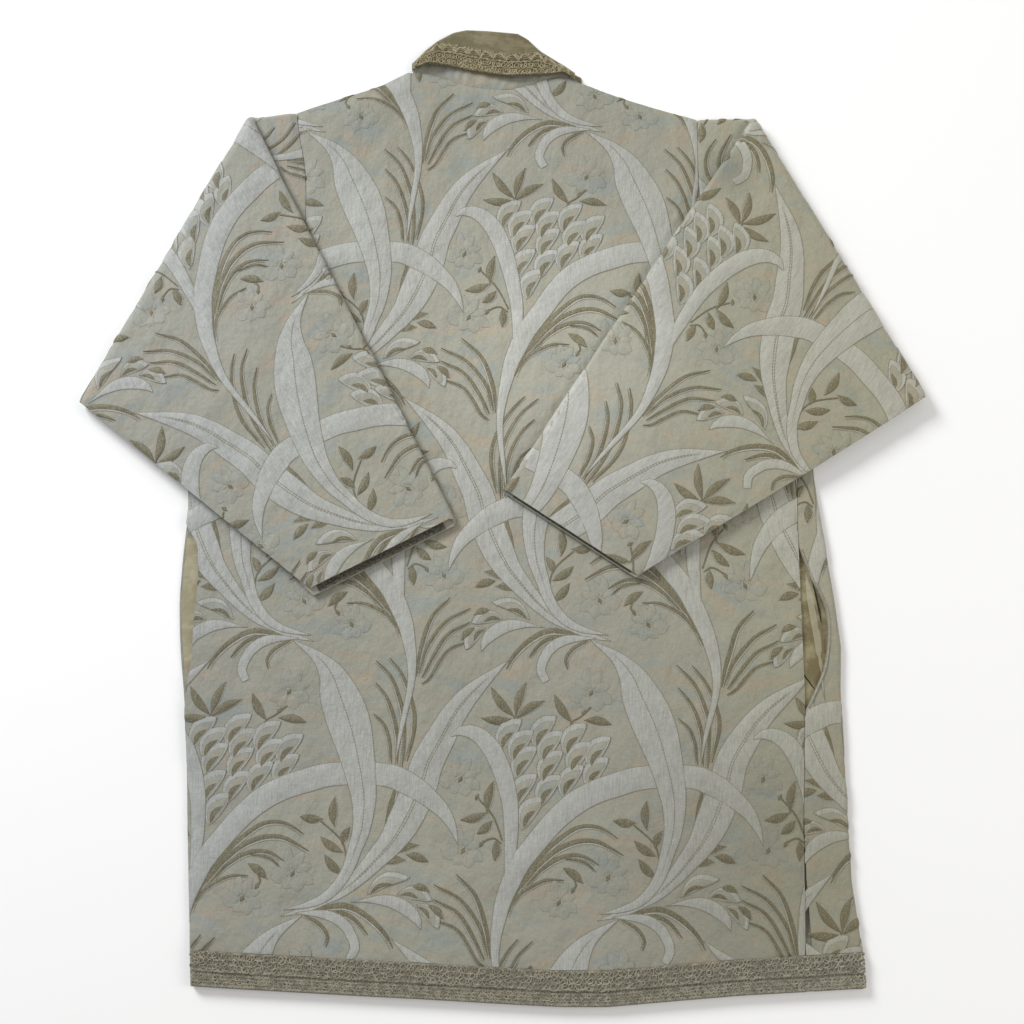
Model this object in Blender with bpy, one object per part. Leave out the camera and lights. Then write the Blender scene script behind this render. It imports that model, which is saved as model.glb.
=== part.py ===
"""A quilted coat laid out face down, with both sleeves folded across its back.

Everything is drafted in millimetres. x runs to the right and y up towards the collar, from the middle
of the laid coat, and z is the height above the surface that it lies on. Each piece of cloth is a wall:
a flat outline, cut into triangles along its quilted leaves, that is then turned round the coat's side
or folded with its sleeve. One rule settles the height of every layer, so that layers never cross.
"""

import math

import bmesh
import bpy
import numpy as np
from mathutils import Vector
from mathutils.geometry import delaunay_2d_cdt

MM = 0.001

# Cloth and air
WALL = 2.4  # brocade, wadding and backing together
AIR = 2.0  # between the two layers of the flattened body or sleeve
STACK = 2 * WALL + AIR
TURN = STACK / 2  # outer radius where cloth turns round an edge
TURN_MID = TURN - WALL / 2
FOLD_AIR = 1.2  # half the gap between a sleeve's layers that face each other
FOLD_CENTRE = STACK + FOLD_AIR
FOLD_MID = FOLD_CENTRE - STACK / 2
SEAM = 0.2  # each edge stops this far from the seam line
QUILT = 1.5  # how far the widest quilted leaf stands up
PINCH = AIR - 0.3  # how much of the air a sewn edge takes away
PUFF = 1.2  # how far the folded sleeve's top layer swells
CENTRE = (0.0077, 0.7142)  # added to x and y, so that the laid coat is centred on the origin

# Sides of the laid coat: height, left edge, right edge, right side seam on the upper layer
SIDES = np.array([
    (-474, -280.0, 325.5, 273.5), (-423, -282.0, 325.0, 274.0), (-361, -286.0, 318.0, 275.5),
    (-308, -289.0, 317.0, 276.5), (-244, -292.0, 316.0, 279.0), (-191, -297.0, 315.0, 281.5),
    (-150, -302.0, 316.5, 281.0), (-107, -304.5, 312.0, 280.5), (-60, -302.5, 306.0, 280.0),
    (-20, -299.0, 300.5, 280.0), (10, -300.0, 297.0, 281.0), (44, -302.2, 295.0, 286.5),
])
# Lowest line of the hem: x, height
HEM = np.array([
    (-284, -454.0), (-235, -457.0), (-180, -460.0), (-124, -463.0), (-74, -465.5), (-2, -469.5),
    (53, -472.3), (95, -472.3), (164, -466.5), (214, -462.5), (270, -459.5), (330, -456.0),
])
# Armhole from the shoulder tip down to the underarm
ARMHOLE = {
    "left": ((-205.3, 382.7), (-202, 357), (-196, 325), (-194, 285), (-196, 240), (-203, 190),
             (-213, 150), (-232, 113), (-262, 75), (-302.2, 44)),
    "right": ((193.2, 375.3), (193, 347), (193, 313), (195, 280), (195, 235), (197, 185),
              (205, 145), (222, 108), (250, 73), (287.6, 44)),
}
SHOULDER = {
    "left": ((-205.3, 382.7), (-159, 399), (-124, 411), (-95, 425)),
    "right": ((193.2, 375.3), (136, 392.5), (79, 413)),
}
BACK_NECK = ((-95, 425), (-75, 424), (-54, 417), (-31, 410), (-1, 407), (22, 410), (44, 418),
             (60, 420), (79, 413))
MIDDLE_X = -7.5  # the coat's own centre line
FRONT_NECK = ((-87.5, 0), (-75, -32), (-50, -66), (-2, -87))  # x from the centre line, y from FRONT_TOP
FRONT_TOP = 419.0
FRONT_GAP = 1.6  # each front stops this far from the centre line

# Sleeves before they are folded over. The top edge leaves the shoulder tip at an angle. The underarm
# line is given by distances along the top edge and down from it. The fold line crosses the laid coat.
SLEEVES = {
    "left": {
        "shoulder": (-205.3, 382.7), "angle": 187.16, "hand": -1, "length": 499.0,
        "under": ((138.4, 324.0), (188, 297), (236.9, 269.9), (340, 223), (499.0, 150.4)),
        "fold": ((-252.0, 376.4), (-406.7, 85.4)), "cuff_step": 7.5, "pattern": (138.6, 268.0),
    },
    "right": {
        "shoulder": (193.2, 375.3), "angle": 0.75, "hand": 1, "length": 507.0,
        "under": ((90.1, 332.5), (150, 309), (209.8, 287.6), (340, 229), (507.0, 149.5)),
        "fold": ((252.9, 371.1), (406.7, 90.4)), "cuff_step": 2.5, "pattern": (-152.2, 112.0),
    },
}
CUFF_BRAID_WIDTH = 30.0
CUFF_BRAID_WALL = 1.0

# Braid and collar
HEM_BRAID_WIDTH = 36.5
BRAID = 1.4
BRAID_GAP = 0.3
BRAID_LIFT = BRAID + BRAID_GAP
COLLAR_ROLL = np.array([(-95, 431), (-88, 438), (-79, 448), (-66, 459), (-50, 468), (-37, 471),
                        (-16, 470), (15, 467), (25, 461), (38, 448), (61, 433), (72, 425), (77, 421)])
COLLAR_EDGE = np.array([(-95, 427), (-73, 433), (-54, 431), (-31, 425), (-13, 421), (15, 423),
                        (38, 425), (56, 424), (77, 414)])
COLLAR_ENDS = (-91.0, 72.0)
FALL_WALL = 1.6
FALL_GAP = 0.3
FALL_RETURN = 16.0
COLLAR_BRAID_WIDTH = 25.0
COLLAR_LEAF = ((-86, 422), (-58, 436), (-40, 420), (-24, 382), (-5, 330), (-54, 296), (-90, 368))

# Pockets in the side seams
POCKET_SHEET = 1.0
POCKET_FLOOR = WALL + 0.5
POCKET_MOUTH = ((281, -58), (290, -83), (297, -97), (303, -112), (305, -129), (304, -147),
                (300, -168), (293, -185), (283, -205))
POCKET_BAG = {
    "right": ((250, -40), (284, -45), (302, -80), (307.5, -110), (309, -140), (305, -180),
              (285, -216), (245, -235), (200, -240), (180, -190), (190, -110)),
    "left": ((-299, -46), (-301, -79), (-302, -107), (-301, -129), (-299, -150), (-296, -179),
             (-290, -200), (-240, -235), (-195, -240), (-178, -190), (-190, -110), (-250, -40)),
}
LEFT_POCKET_EDGE = ((-200, -294.5), (-187, -294.0), (-158, -289.5), (-129, -289.5), (-107, -287.5),
                    (-79, -286.5), (-52, -287.5), (-40, -296.0))

# Soft ridges of the laid body: x, y, angle in degrees, length, width, height
BODY_FOLDS = (
    (-62, -150, 78, 300, 64, 2.0),
    (109, -200, 100, 360, 75, 2.2),
    (-205, -247, 86, 280, 64, 1.8),
    (218, -333, 72, 200, 54, 1.6),
    (23, -352, 12, 240, 46, 1.3),
    (-119, 275, 60, 140, 44, 1.2),
    (99, 266, 118, 150, 46, 1.4),
    (-5, 320, 2, 130, 44, 1.0),
    (222, 325, 84, 60, 12, 1.6),
)
# The same on the folded sleeves' top layer
SLEEVE_FOLDS = (
    (-249, 150, 62, 220, 60, 1.0),
    (-175, 20, 35, 130, 44, 0.9),
    (250, 170, 120, 230, 60, 1.0),
    (180, 50, 148, 150, 46, 0.9),
)

# One repeat of the quilted leaves. Each leaf: width, root share, widest place along it, route
REPEAT = (277.4, 505.9)
PATTERN_START = (-1.8, -427.3)
MIRROR_SUM = -86.4  # a leaf and its mirrored copy have x values that add up to this
MIRROR_RISE = 252.95
STRIP_PATTERN = (294.4, -110.9)  # how far the pattern of the right front's strip is from the back's
LEAVES = (
    (21, 0.60, 0.45, ((-3, 4), (-1, 26), (5, 53), (24, 91), (60, 131), (108, 155), (150, 159),
                      (190, 153), (222, 133), (245, 100))),
    (15, 0.60, 0.40, ((10, 84), (10, 110), (7, 137), (0, 165), (-10, 185), (-24, 200), (-42, 200))),
    (36, 0.05, 0.36, ((85, 283), (105, 266), (123, 243), (138, 215), (149, 183), (157, 147),
                      (158, 119), (153, 93), (132, 44), (104, 29), (77, 22))),
    (31, 0.05, 0.45, ((-10, 274), (-32, 255), (-51, 229), (-65, 197), (-83, 149), (-105, 104),
                      (-130, 75), (-155, 54), (-198, 36))),
    (13, 0.50, 0.45, ((-160, 46), (-129, 53), (-100, 48), (-83, 32))),
    (11, 0.60, 0.45, ((-164, 31), (-145, 27), (-126, 19), (-129, 5), (-133, -8))),
)

COLOURS = {
    "brocade": ((0.42, 0.40, 0.32, 1), 0.55),
    "satin": ((0.24, 0.21, 0.13, 1), 0.40),
    "braid": ((0.30, 0.25, 0.17, 1), 0.45),
}


def clear_scene():
    for item in list(bpy.data.objects):
        bpy.data.objects.remove(item)


def finish_material(name):
    colour, roughness = COLOURS[name]
    material = bpy.data.materials.get(name) or bpy.data.materials.new(name)
    material.use_nodes = True
    shader = material.node_tree.nodes["Principled BSDF"]
    shader.inputs["Base Color"].default_value = colour
    shader.inputs["Roughness"].default_value = roughness
    shader.inputs["Metallic"].default_value = 0.0
    return material


def ramp(low, high, value):
    """0 at low and 1 at high, straight between them."""
    return np.clip((value - low) / (high - low), 0.0, 1.0)


def ease(low, high, value):
    t = ramp(low, high, value)
    return t * t * (3 - 2 * t)


def curve_through(points, step):
    """Points about step apart on a smooth curve through the given ones."""
    points = np.array(points, float)
    ends = np.vstack([2 * points[0] - points[1], points, 2 * points[-1] - points[-2]])
    made = []
    for p0, p1, p2, p3 in zip(ends[:-3], ends[1:-2], ends[2:-1], ends[3:]):
        count = max(1, round(np.linalg.norm(p2 - p1) / step))
        for t in np.arange(count) / count:
            made.append(0.5 * (2 * p1 + (p2 - p0) * t + (2 * p0 - 5 * p1 + 4 * p2 - p3) * t * t
                               + (3 * p1 - p0 - 3 * p2 + p3) * t ** 3))
    made.append(points[-1])
    return np.array(made)


def moved_aside(line, distance):
    """The same open line, moved to its left by the distance."""
    way = np.gradient(line, axis=0)
    way /= np.linalg.norm(way, axis=1)[:, None]
    return line + distance * np.stack([-way[:, 1], way[:, 0]], 1)


def closed_line(*stretches):
    """Joins stretches, end to start, into one closed outline with no doubled point."""
    line = []
    for stretch in stretches:
        for point in np.array(stretch, float):
            if not line or np.linalg.norm(point - line[-1]) > 0.6:
                line.append(point)
    if np.linalg.norm(line[0] - line[-1]) <= 0.6:
        line.pop()
    return np.array(line)


def split_long(outline, step_at):
    """Splits each side of an outline until it is no longer than the step wanted at its middle."""
    made = []
    for start, end in zip(outline, np.roll(outline, -1, axis=0)):
        waiting = [(start, end)]
        while waiting:
            a, b = waiting.pop()
            middle = (a + b) / 2
            if np.linalg.norm(b - a) > step_at(middle):
                waiting += [(middle, b), (a, middle)]
            else:
                made.append(a)
    return np.array(made)


def inside(points, outline):
    """Which points lie within the closed outline."""
    x, y = points[:, :1], points[:, 1:2]
    x1, y1 = outline[:, 0], outline[:, 1]
    x2, y2 = np.roll(x1, -1), np.roll(y1, -1)
    rise = np.where(y2 == y1, 1e-9, y2 - y1)
    crossed = ((y1 > y) != (y2 > y)) & (x < (x2 - x1) * (y - y1) / rise + x1)
    return crossed.sum(1) % 2 == 1


def distance_to(points, line, closed=True):
    """How far each point is from the line through the given points."""
    a = np.array(line, float)
    b = np.roll(a, -1, axis=0)
    if not closed:
        a, b = a[:-1], a[1:]
    best = np.full(len(points), np.inf)
    for start, way in zip(a, b - a):
        rel = points - start
        t = np.clip(rel @ way / max(way @ way, 1e-9), 0, 1)
        best = np.minimum(best, np.linalg.norm(rel - t[:, None] * way, axis=1))
    return best


def side_at(height, column):
    return np.interp(height, SIDES[:, 0], SIDES[:, column])


def hem_at(x):
    return np.interp(x, HEM[:, 0], HEM[:, 1])


def leaf_outline(hand):
    """The hidden front leaf of the collar, on one side of the centre line."""
    return np.array([(MIDDLE_X + hand * x, y) for x, y in COLLAR_LEAF], float)


def round_leaf(hand):
    """A closed line just outside the collar leaf, kept as edges of the front that lies on it."""
    outline = leaf_outline(hand)
    outward = outline - outline.mean(0)
    ring = split_long(outline + 2.5 * outward / np.linalg.norm(outward, axis=1)[:, None], lambda p: 14.0)
    return np.vstack([ring, ring[:1]])


class Sleeve:
    """One sleeve's flat draft and the way it is folded."""

    def __init__(self, name):
        data = SLEEVES[name]
        turn = math.radians(data["angle"])
        self.name = name
        self.hand = data["hand"]
        self.start = np.array(data["shoulder"])
        self.along = np.array((math.cos(turn), math.sin(turn)))
        self.down = np.array((self.along[1], -self.along[0])) * self.hand
        self.under = np.array(data["under"], float)
        self.length = data["length"]
        self.cuff_step = data["cuff_step"]
        self.pattern = data["pattern"]
        self.fold_top, self.fold_low = np.array(data["fold"], float)
        way = (self.fold_low - self.fold_top) / np.linalg.norm(self.fold_low - self.fold_top)
        self.fold_way = way
        self.fold_out = np.array((-way[1], way[0])) * self.hand

    def draft(self, flat):
        """Distances along the top edge and down from it, for points of the laid coat."""
        rel = np.array(flat, float) - self.start
        return np.column_stack([rel @ self.along, rel @ self.down])

    def laid(self, draft):
        return self.start + draft[:, :1] * self.along + draft[:, 1:2] * self.down

    def beyond(self, flat):
        """How far points of the unfolded sleeve lie past the fold line."""
        return (flat - self.fold_top) @ self.fold_out

    def on_lower(self, draft):
        """The unrolled place of points of the front layer, reached round the top edge."""
        return np.column_stack([draft[:, 0], 2 * TURN - math.pi * TURN_MID - draft[:, 1]])

    def place(self, sheet, depth):
        """Takes a point of the unrolled sleeve, at its depth under the outer face, to its place."""
        radius = TURN - depth
        angle = np.clip((TURN - sheet[:, 1]) / TURN_MID, 0, math.pi)
        past = np.maximum(TURN - sheet[:, 1] - math.pi * TURN_MID, 0)
        down = np.where(sheet[:, 1] > TURN, sheet[:, 1], TURN - radius * np.sin(angle) + past)
        z = TURN + radius * np.cos(angle)
        draft = np.column_stack([sheet[:, 0], down])
        seam = 1 - ease(2, 16, distance_to(draft, self.under, closed=False))
        z = z - PINCH * seam * ramp(WALL, WALL + AIR, z)
        flat = self.laid(draft)
        beyond = self.beyond(flat)
        turned = np.clip((beyond + FOLD_CENTRE) / FOLD_MID, 0, math.pi)
        after = np.maximum(beyond + FOLD_CENTRE - math.pi * FOLD_MID, 0)
        reach = FOLD_CENTRE - z
        kept = np.where(beyond < -FOLD_CENTRE, beyond, -FOLD_CENTRE + reach * np.sin(turned) - after)
        z = FOLD_CENTRE - reach * np.cos(turned)
        flat = flat + (kept - beyond)[:, None] * self.fold_out
        return settle(np.column_stack([flat, z]))

    def folded_corner(self, draft):
        flat = self.laid(np.array([draft], float))[0]
        return flat - 2 * self.beyond(flat) * self.fold_out

    def folded_outline(self):
        return np.array([self.fold_top, self.fold_low, self.folded_corner(self.under[-1]),
                         self.folded_corner((self.length, 0))])


DRAFTS = {name: Sleeve(name) for name in SLEEVES}
FOLDED = {name: sleeve.folded_outline() for name, sleeve in DRAFTS.items()}


def under_sleeve(flat):
    """How deep each point lies under a folded sleeve: negative outside them."""
    best = np.full(len(flat), -np.inf)
    for outline in FOLDED.values():
        away = distance_to(flat, outline)
        best = np.maximum(best, np.where(inside(flat, outline), away, -away))
    return best


def ridges(points, folds):
    total = np.zeros(len(points))
    for x, y, angle, length, width, height in folds:
        along = np.array((math.cos(math.radians(angle)), math.sin(math.radians(angle))))
        rel = points - (x, y)
        s = rel @ along / (length / 2)
        across = (rel @ np.array((-along[1], along[0]))) / (width / 2)
        total += height * np.exp(-across ** 2 - s ** 4)
    return total


def braid_lift(flat):
    """Where the lowest layer lies on braid or on a collar leaf, from 0 to 1."""
    lift = ease(26, 3, flat[:, 1] - hem_at(flat[:, 0]) - HEM_BRAID_WIDTH)
    for hand in (-1, 1):
        outline = leaf_outline(hand)
        away = np.where(inside(flat, outline), 0.0, distance_to(flat, outline))
        lift = np.maximum(lift, ease(22, 3, away))
    return lift


def settle(points):
    """The one rule of height: braid lifts the lowest layer, and loft lifts those above it."""
    flat, z = points[:, :2], points[:, 2]
    edge = np.minimum(flat[:, 0] - side_at(flat[:, 1], 1), side_at(flat[:, 1], 2) - flat[:, 0])
    edge = np.where(flat[:, 1] > 44, 99.0, edge)
    deep = under_sleeve(flat)
    calm = ease(4, 45, edge) * ease(0, 60, flat[:, 1] - hem_at(flat[:, 0])) * ease(0, 30, -deep)
    calm = calm * ease(405, 360, flat[:, 1])
    body = ridges(flat, BODY_FOLDS) * calm * ramp(WALL, WALL + AIR, z)
    swell = PUFF * ease(0, 70, deep) + ease(0, 40, deep) * ridges(flat, SLEEVE_FOLDS)
    swell = swell * ramp(2 * FOLD_CENTRE - WALL - AIR, 2 * FOLD_CENTRE - WALL, z)
    lowest = 1 - ramp(WALL, WALL + AIR, z)
    return np.column_stack([flat, z + BRAID_LIFT * braid_lift(flat) * lowest + body + swell])


def sewn_edge(flat):
    """How much a sewn edge closes the air between the body's two layers, from 0 to 1."""
    away = np.minimum(distance_to(flat, SHOULDER["left"], closed=False),
                      distance_to(flat, SHOULDER["right"], closed=False))
    left = np.abs(flat[:, 0] - side_at(flat[:, 1], 1))
    open_pocket = ease(-262, -246, flat[:, 1]) * ease(-16, -32, flat[:, 1])
    closing = 1 - ease(2, 16, np.minimum(away, left + 20 * open_pocket))
    return closing * (1 - braid_lift(flat))


def body_place(sheet, depth):
    """Takes a point of the unrolled body, at its depth under the outer face, to its place.

    The first coordinate is x on the upper layer. Past the right edge it runs on round the turn and
    back along the lower layer.
    """
    u, y = sheet[:, 0], sheet[:, 1]
    centre = side_at(y, 2) - TURN
    angle = np.clip((u - centre) / TURN_MID, 0, math.pi)
    past = np.maximum(u - centre - math.pi * TURN_MID, 0)
    radius = TURN - depth
    x = np.where(u < centre, u, centre + radius * np.sin(angle) - past)
    z = TURN + radius * np.cos(angle)
    flat = np.column_stack([x, y])
    z = z - PINCH * sewn_edge(flat) * ramp(WALL, WALL + AIR, z)
    return settle(np.column_stack([flat, z]))


def lower_place(sheet, depth):
    """A point of a piece that lies face down, at its depth above the surface."""
    return settle(np.column_stack([sheet, depth]))


def under_right(points):
    """The unrolled place of points of the lower layer, reached round the right edge."""
    points = np.array(points, float)
    centre = side_at(points[:, 1], 2) - TURN
    return np.column_stack([2 * centre + math.pi * TURN_MID - points[:, 0], points[:, 1]])


def leaf_form(row, step):
    """A quilted leaf's middle line and its half width at each point of it."""
    width, root, widest, route = row
    line = curve_through(route, step)
    along = np.linspace(0, 1, len(line))
    rising = root + (1 - root) * (1 - (1 - np.clip(along / widest, 0, 1)) ** 2)
    falling = 1 - np.clip((along - widest) / (1 - widest), 0, 1) ** 2
    return line, width / 2 * np.minimum(rising, falling) + 0.01


def leaves_over(low, high, step, to_sheet):
    """Every leaf of the repeat between two corners of the pattern, on the sheet it is sewn to."""
    found = []
    first = [math.floor(low[k] / REPEAT[k]) - 1 for k in (0, 1)]
    last = [math.ceil(high[k] / REPEAT[k]) + 1 for k in (0, 1)]
    for row in LEAVES:
        line, half = leaf_form(row, step)
        turned = line * (-1, 1) + (MIRROR_SUM, MIRROR_RISE)
        for version in (line, turned):
            for i in range(first[0], last[0] + 1):
                for j in range(first[1], last[1] + 1):
                    moved = version + (i * REPEAT[0], j * REPEAT[1])
                    if (moved.max(0) > low).all() and (moved.min(0) < high).all():
                        found.append((to_sheet(moved), half))
    return found


def quilt_height(points, leaves, shown):
    """How far the padding stands up at each point of the sheet."""
    best = np.zeros(len(points))
    for line, half in leaves:
        near = (np.abs(points - (line.max(0) + line.min(0)) / 2) < np.ptp(line, axis=0) / 2 + 30).all(1)
        if not near.any():
            continue
        part = points[near]
        share = np.full(len(part), np.inf)
        for k in range(len(line) - 1):
            way = line[k + 1] - line[k]
            t = np.clip((part - line[k]) @ way / (way @ way), 0, 1)
            reach = half[k] + (half[k + 1] - half[k]) * t
            off = np.linalg.norm(part - line[k] - t[:, None] * way, axis=1)
            share = np.minimum(share, off / np.maximum(reach, 0.05))
        top = QUILT * min(1.0, half.max() / 14)
        best[near] = np.maximum(best[near], top * np.clip(1 - share ** 2, 0, 1))
    return best * shown(points)


def above_braid(points):
    """0 where the hem braid covers the cloth, and 1 above it."""
    return ease(2, 10, points[:, 1] - hem_at(points[:, 0]) - HEM_BRAID_WIDTH)


def braid_line(left, right):
    """A line just above the hem braid, kept as edges so that no face crosses the braid's edge."""
    return np.array([(x, hem_at(x) + HEM_BRAID_WIDTH + 1.5) for x in np.linspace(left, right, 14)])


def leaf_lines(leaves):
    """The two sides and the middle of each leaf, as open lines."""
    lines = []
    for line, half in leaves:
        way = np.gradient(line, axis=0)
        across = np.stack([-way[:, 1], way[:, 0]], 1) / np.linalg.norm(way, axis=1)[:, None]
        lines += [line, line + across * half[:, None], line - across * half[:, None]]
    return lines


def kept_runs(lines, wanted):
    """The stretches of each line whose points are wanted."""
    runs = []
    for line in lines:
        good = wanted(line)
        run = []
        for point, fine in zip(line, good):
            if fine:
                run.append(point)
            elif run:
                runs.append(np.array(run))
                run = []
        if run:
            runs.append(np.array(run))
    return runs


def flat_triangles(outline, lines, grid, turns):
    """Triangles over an outline, through grid points, with the lines and turn rows as edges."""
    low, high = outline.min(0), outline.max(0)
    runs = kept_runs(turns, lambda p: inside(p, outline) & (distance_to(p, outline) > 0.7))
    runs += kept_runs(lines, lambda p: inside(p, outline) & (distance_to(p, outline) > 4.0))
    rows = []
    for k, y in enumerate(np.arange(low[1] + grid / 2, high[1], grid * 0.87)):
        xs = np.arange(low[0] + grid / 2 + (k % 2) * grid / 2, high[0], grid)
        rows.append(np.column_stack([xs, np.full(len(xs), y)]))
    fill = np.vstack(rows) if rows else np.zeros((0, 2))
    fill = fill[inside(fill, outline) & (distance_to(fill, outline) > grid * 0.3)]
    if len(fill) and runs:
        others = np.vstack(runs)
        gap = np.array([np.min(np.linalg.norm(others - p, axis=1)) for p in fill])
        fill = fill[gap > grid * 0.42]
    points = [tuple(p) for p in outline] + [tuple(p) for p in fill]
    edges = []
    for run in runs:
        start = len(points)
        points += [tuple(p) for p in run]
        edges += [(k, k + 1) for k in range(start, len(points) - 1)]
    ring = list(range(len(outline)))
    made, _, faces, origins, _, _ = delaunay_2d_cdt([Vector(p) for p in points], edges, [ring], 1, 1e-4)
    place_of = {}
    for index, sources in enumerate(origins):
        for source in sources:
            place_of.setdefault(source, index)
    return np.array([tuple(p) for p in made]), faces, [place_of[k] for k in ring]


def constant(depth):
    return lambda points: np.full(len(points), float(depth))


def new_object(name, finish, mesh):
    bmesh.ops.triangulate(mesh, faces=mesh.faces)
    bmesh.ops.recalc_face_normals(mesh, faces=mesh.faces)
    data = bpy.data.meshes.new(name)
    mesh.to_mesh(data)
    mesh.free()
    data.materials.append(finish_material(finish))
    item = bpy.data.objects.new(name, data)
    bpy.context.scene.collection.objects.link(item)
    return item


def wall(name, finish, outline, place, outer, inner, lines=(), grid=(30.0, 48.0), turns=()):
    """A closed wall of cloth: the outline cut into triangles on both faces, joined round its edge.

    outer and inner give the depth of each face. lines are edges of the outer face alone, and turns
    are rows of points that both faces need where the cloth goes round a bend.
    """
    after = np.roll(outline, -1, axis=0)
    if (outline[:, 0] * after[:, 1] - outline[:, 1] * after[:, 0]).sum() < 0:
        outline = outline[::-1]
    mesh = bmesh.new()
    rings = []
    for depth, kept, size, flip in ((outer, lines, grid[0], False), (inner, (), grid[1], True)):
        points, faces, border = flat_triangles(outline, kept, size, turns)
        placed = (place(points, depth(points)) + (*CENTRE, 0)) * MM
        made = [mesh.verts.new(p) for p in placed]
        for face in faces:
            mesh.faces.new([made[k] for k in (reversed(face) if flip else face)])
        rings.append([made[k] for k in border])
    upper, lower = rings
    for k in range(len(upper)):
        follow = (k + 1) % len(upper)
        mesh.faces.new((upper[k], lower[k], lower[follow], upper[follow]))
    return new_object(name, finish, mesh)


def loft(name, finish, sections):
    """A closed solid through rings of points. Each ring runs out along one face and back along the other."""
    mesh = bmesh.new()
    rings = [[mesh.verts.new((np.array(p) + (*CENTRE, 0)) * MM) for p in ring] for ring in sections]
    for ring, following in zip(rings, rings[1:]):
        for k in range(len(ring)):
            follow = (k + 1) % len(ring)
            mesh.faces.new((ring[k], ring[follow], following[follow], following[k]))
    for ring in (rings[0], rings[-1]):
        for k in range(len(ring) // 2 - 1):
            mesh.faces.new((ring[k], ring[k + 1], ring[-k - 2], ring[-k - 1]))
    return new_object(name, finish, mesh)


def seam_heights(top):
    return np.linspace(-420, top, 27)


def centre_heights():
    """Heights down the centre front, close together where the cloth lifts over leaf and braid."""
    low = hem_at(MIDDLE_X)
    above = low + HEM_BRAID_WIDTH
    return np.concatenate([np.linspace(326, 246, 8), np.linspace(210, above + 50, 10),
                           [above + 24, above + 12, above + 1.5, low + 16]])


def side_step(point):
    """How long a side of the body's outline may be: short where it goes round the right turn."""
    start = side_at(point[1], 2) - TURN
    away = max(start - point[0], point[0] - start - math.pi * TURN_MID, 0)
    return 1.3 + 0.6 * away if away < 35 else 24.0


def turn_rows(low, high):
    rows = []
    for step in np.linspace(0, math.pi, 6):
        rows.append(np.array([(side_at(y, 2) - TURN + step * TURN_MID, y) for y in np.linspace(low, high, 34)]))
    return rows


def pattern_to_body(points):
    return points + PATTERN_START


def back_panel():
    heights = seam_heights(38)
    hem = [(x, hem_at(x)) for x in np.linspace(-280, 273, 30)]
    right = [(side_at(y, 3) - SEAM, y) for y in heights]
    left_edge = [(side_at(y, 1) + SEAM, y) for y in heights[::-1] if not -202 < y < -38]
    pocket = [(x, y) for y, x in LEFT_POCKET_EDGE[::-1]]
    left = sorted(left_edge + pocket, key=lambda p: -p[1])
    right_arm = moved_aside(curve_through(ARMHOLE["right"], 18)[::-1], SEAM)
    left_arm = moved_aside(curve_through(ARMHOLE["left"], 18), SEAM)
    outline = closed_line(hem, right, right_arm, curve_through(SHOULDER["right"], 20),
                          curve_through(BACK_NECK, 9)[::-1], curve_through(SHOULDER["left"], 20)[::-1],
                          left_arm, left)
    low = outline.min(0) - PATTERN_START
    high = outline.max(0) - PATTERN_START
    leaves = leaves_over(low, high, 24.0, pattern_to_body)

    def shown(points):
        return ease(6, -2, under_sleeve(points)) * above_braid(points) * ease(3, 12, distance_to(points, outline))

    lines = kept_runs(leaf_lines(leaves), lambda p: under_sleeve(p) < 4)
    lines.append(braid_line(-276, 270))
    return wall("back_panel", "brocade", outline, body_place,
                lambda p: -quilt_height(p, leaves, shown), constant(WALL), lines, (34.0, 44.0))


def front_left():
    """The wearer's left front, with its outer face on the surface."""
    heights = seam_heights(38)
    edge = MIDDLE_X - FRONT_GAP
    hem = [(x, hem_at(x)) for x in np.linspace(edge, -280, 14)]
    left = [(side_at(y, 1) + SEAM, y) for y in heights]
    arm = moved_aside(curve_through(ARMHOLE["left"], 18)[::-1], -SEAM)
    neck = curve_through([(MIDDLE_X + x, FRONT_TOP + y) for x, y in FRONT_NECK], 14)
    centre = [(edge, y) for y in centre_heights()]
    outline = closed_line(hem, left, arm, curve_through(SHOULDER["left"], 20), neck, centre)
    return wall("front_left", "brocade", outline, lower_place, constant(0), constant(WALL),
                [braid_line(-278, edge - 1), round_leaf(1)])


def front_right():
    """The front that turns round the right edge and shows as a strip beside the back."""
    heights = seam_heights(38)
    edge = MIDDLE_X + FRONT_GAP
    hem_y = hem_at(320.0)
    upper_hem = [(x, hem_at(x)) for x in np.linspace(274.2, 316, 4)]
    under_hem = under_right([(x, hem_at(x)) for x in np.linspace(316, edge, 18)])
    centre = under_right([(edge, y) for y in centre_heights()[::-1]])
    neck = under_right(curve_through([(MIDDLE_X - x, FRONT_TOP + y) for x, y in FRONT_NECK], 14)[::-1])
    shoulder = under_right(curve_through(SHOULDER["right"], 20)[::-1])
    arm = under_right(moved_aside(curve_through(ARMHOLE["right"], 18), -SEAM))
    seam = [(side_at(y, 3) + SEAM, y) for y in heights[::-1]]
    above = [p for p in seam if p[1] > -55]
    below = [p for p in seam if p[1] < -207]
    outline = closed_line(upper_hem, under_hem, centre, neck, shoulder, arm, above,
                          curve_through(POCKET_MOUTH, 12), below)
    outline = split_long(outline, side_step)

    leaves = leaves_over(np.array((-30.0, -360.0)), np.array((40.0, 160.0)), 24.0,
                         lambda points: points + STRIP_PATTERN)

    def shown(points):
        start = side_at(points[:, 1], 2) - TURN
        near_edge = ease(3, 10, distance_to(points, outline))
        return ease(0, 8, start - points[:, 0]) * above_braid(points) * near_edge

    lines = kept_runs(leaf_lines(leaves), lambda p: p[:, 0] < side_at(p[:, 1], 2) - TURN - 4)
    lines += [braid_line(279, 314), under_right(braid_line(edge + 1, 318)), under_right(round_leaf(-1))]
    return wall("front_right", "brocade", outline, body_place,
                lambda p: -quilt_height(p, leaves, shown), constant(WALL), lines, (36.0, 48.0),
                turn_rows(hem_y + 2, 36))


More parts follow.
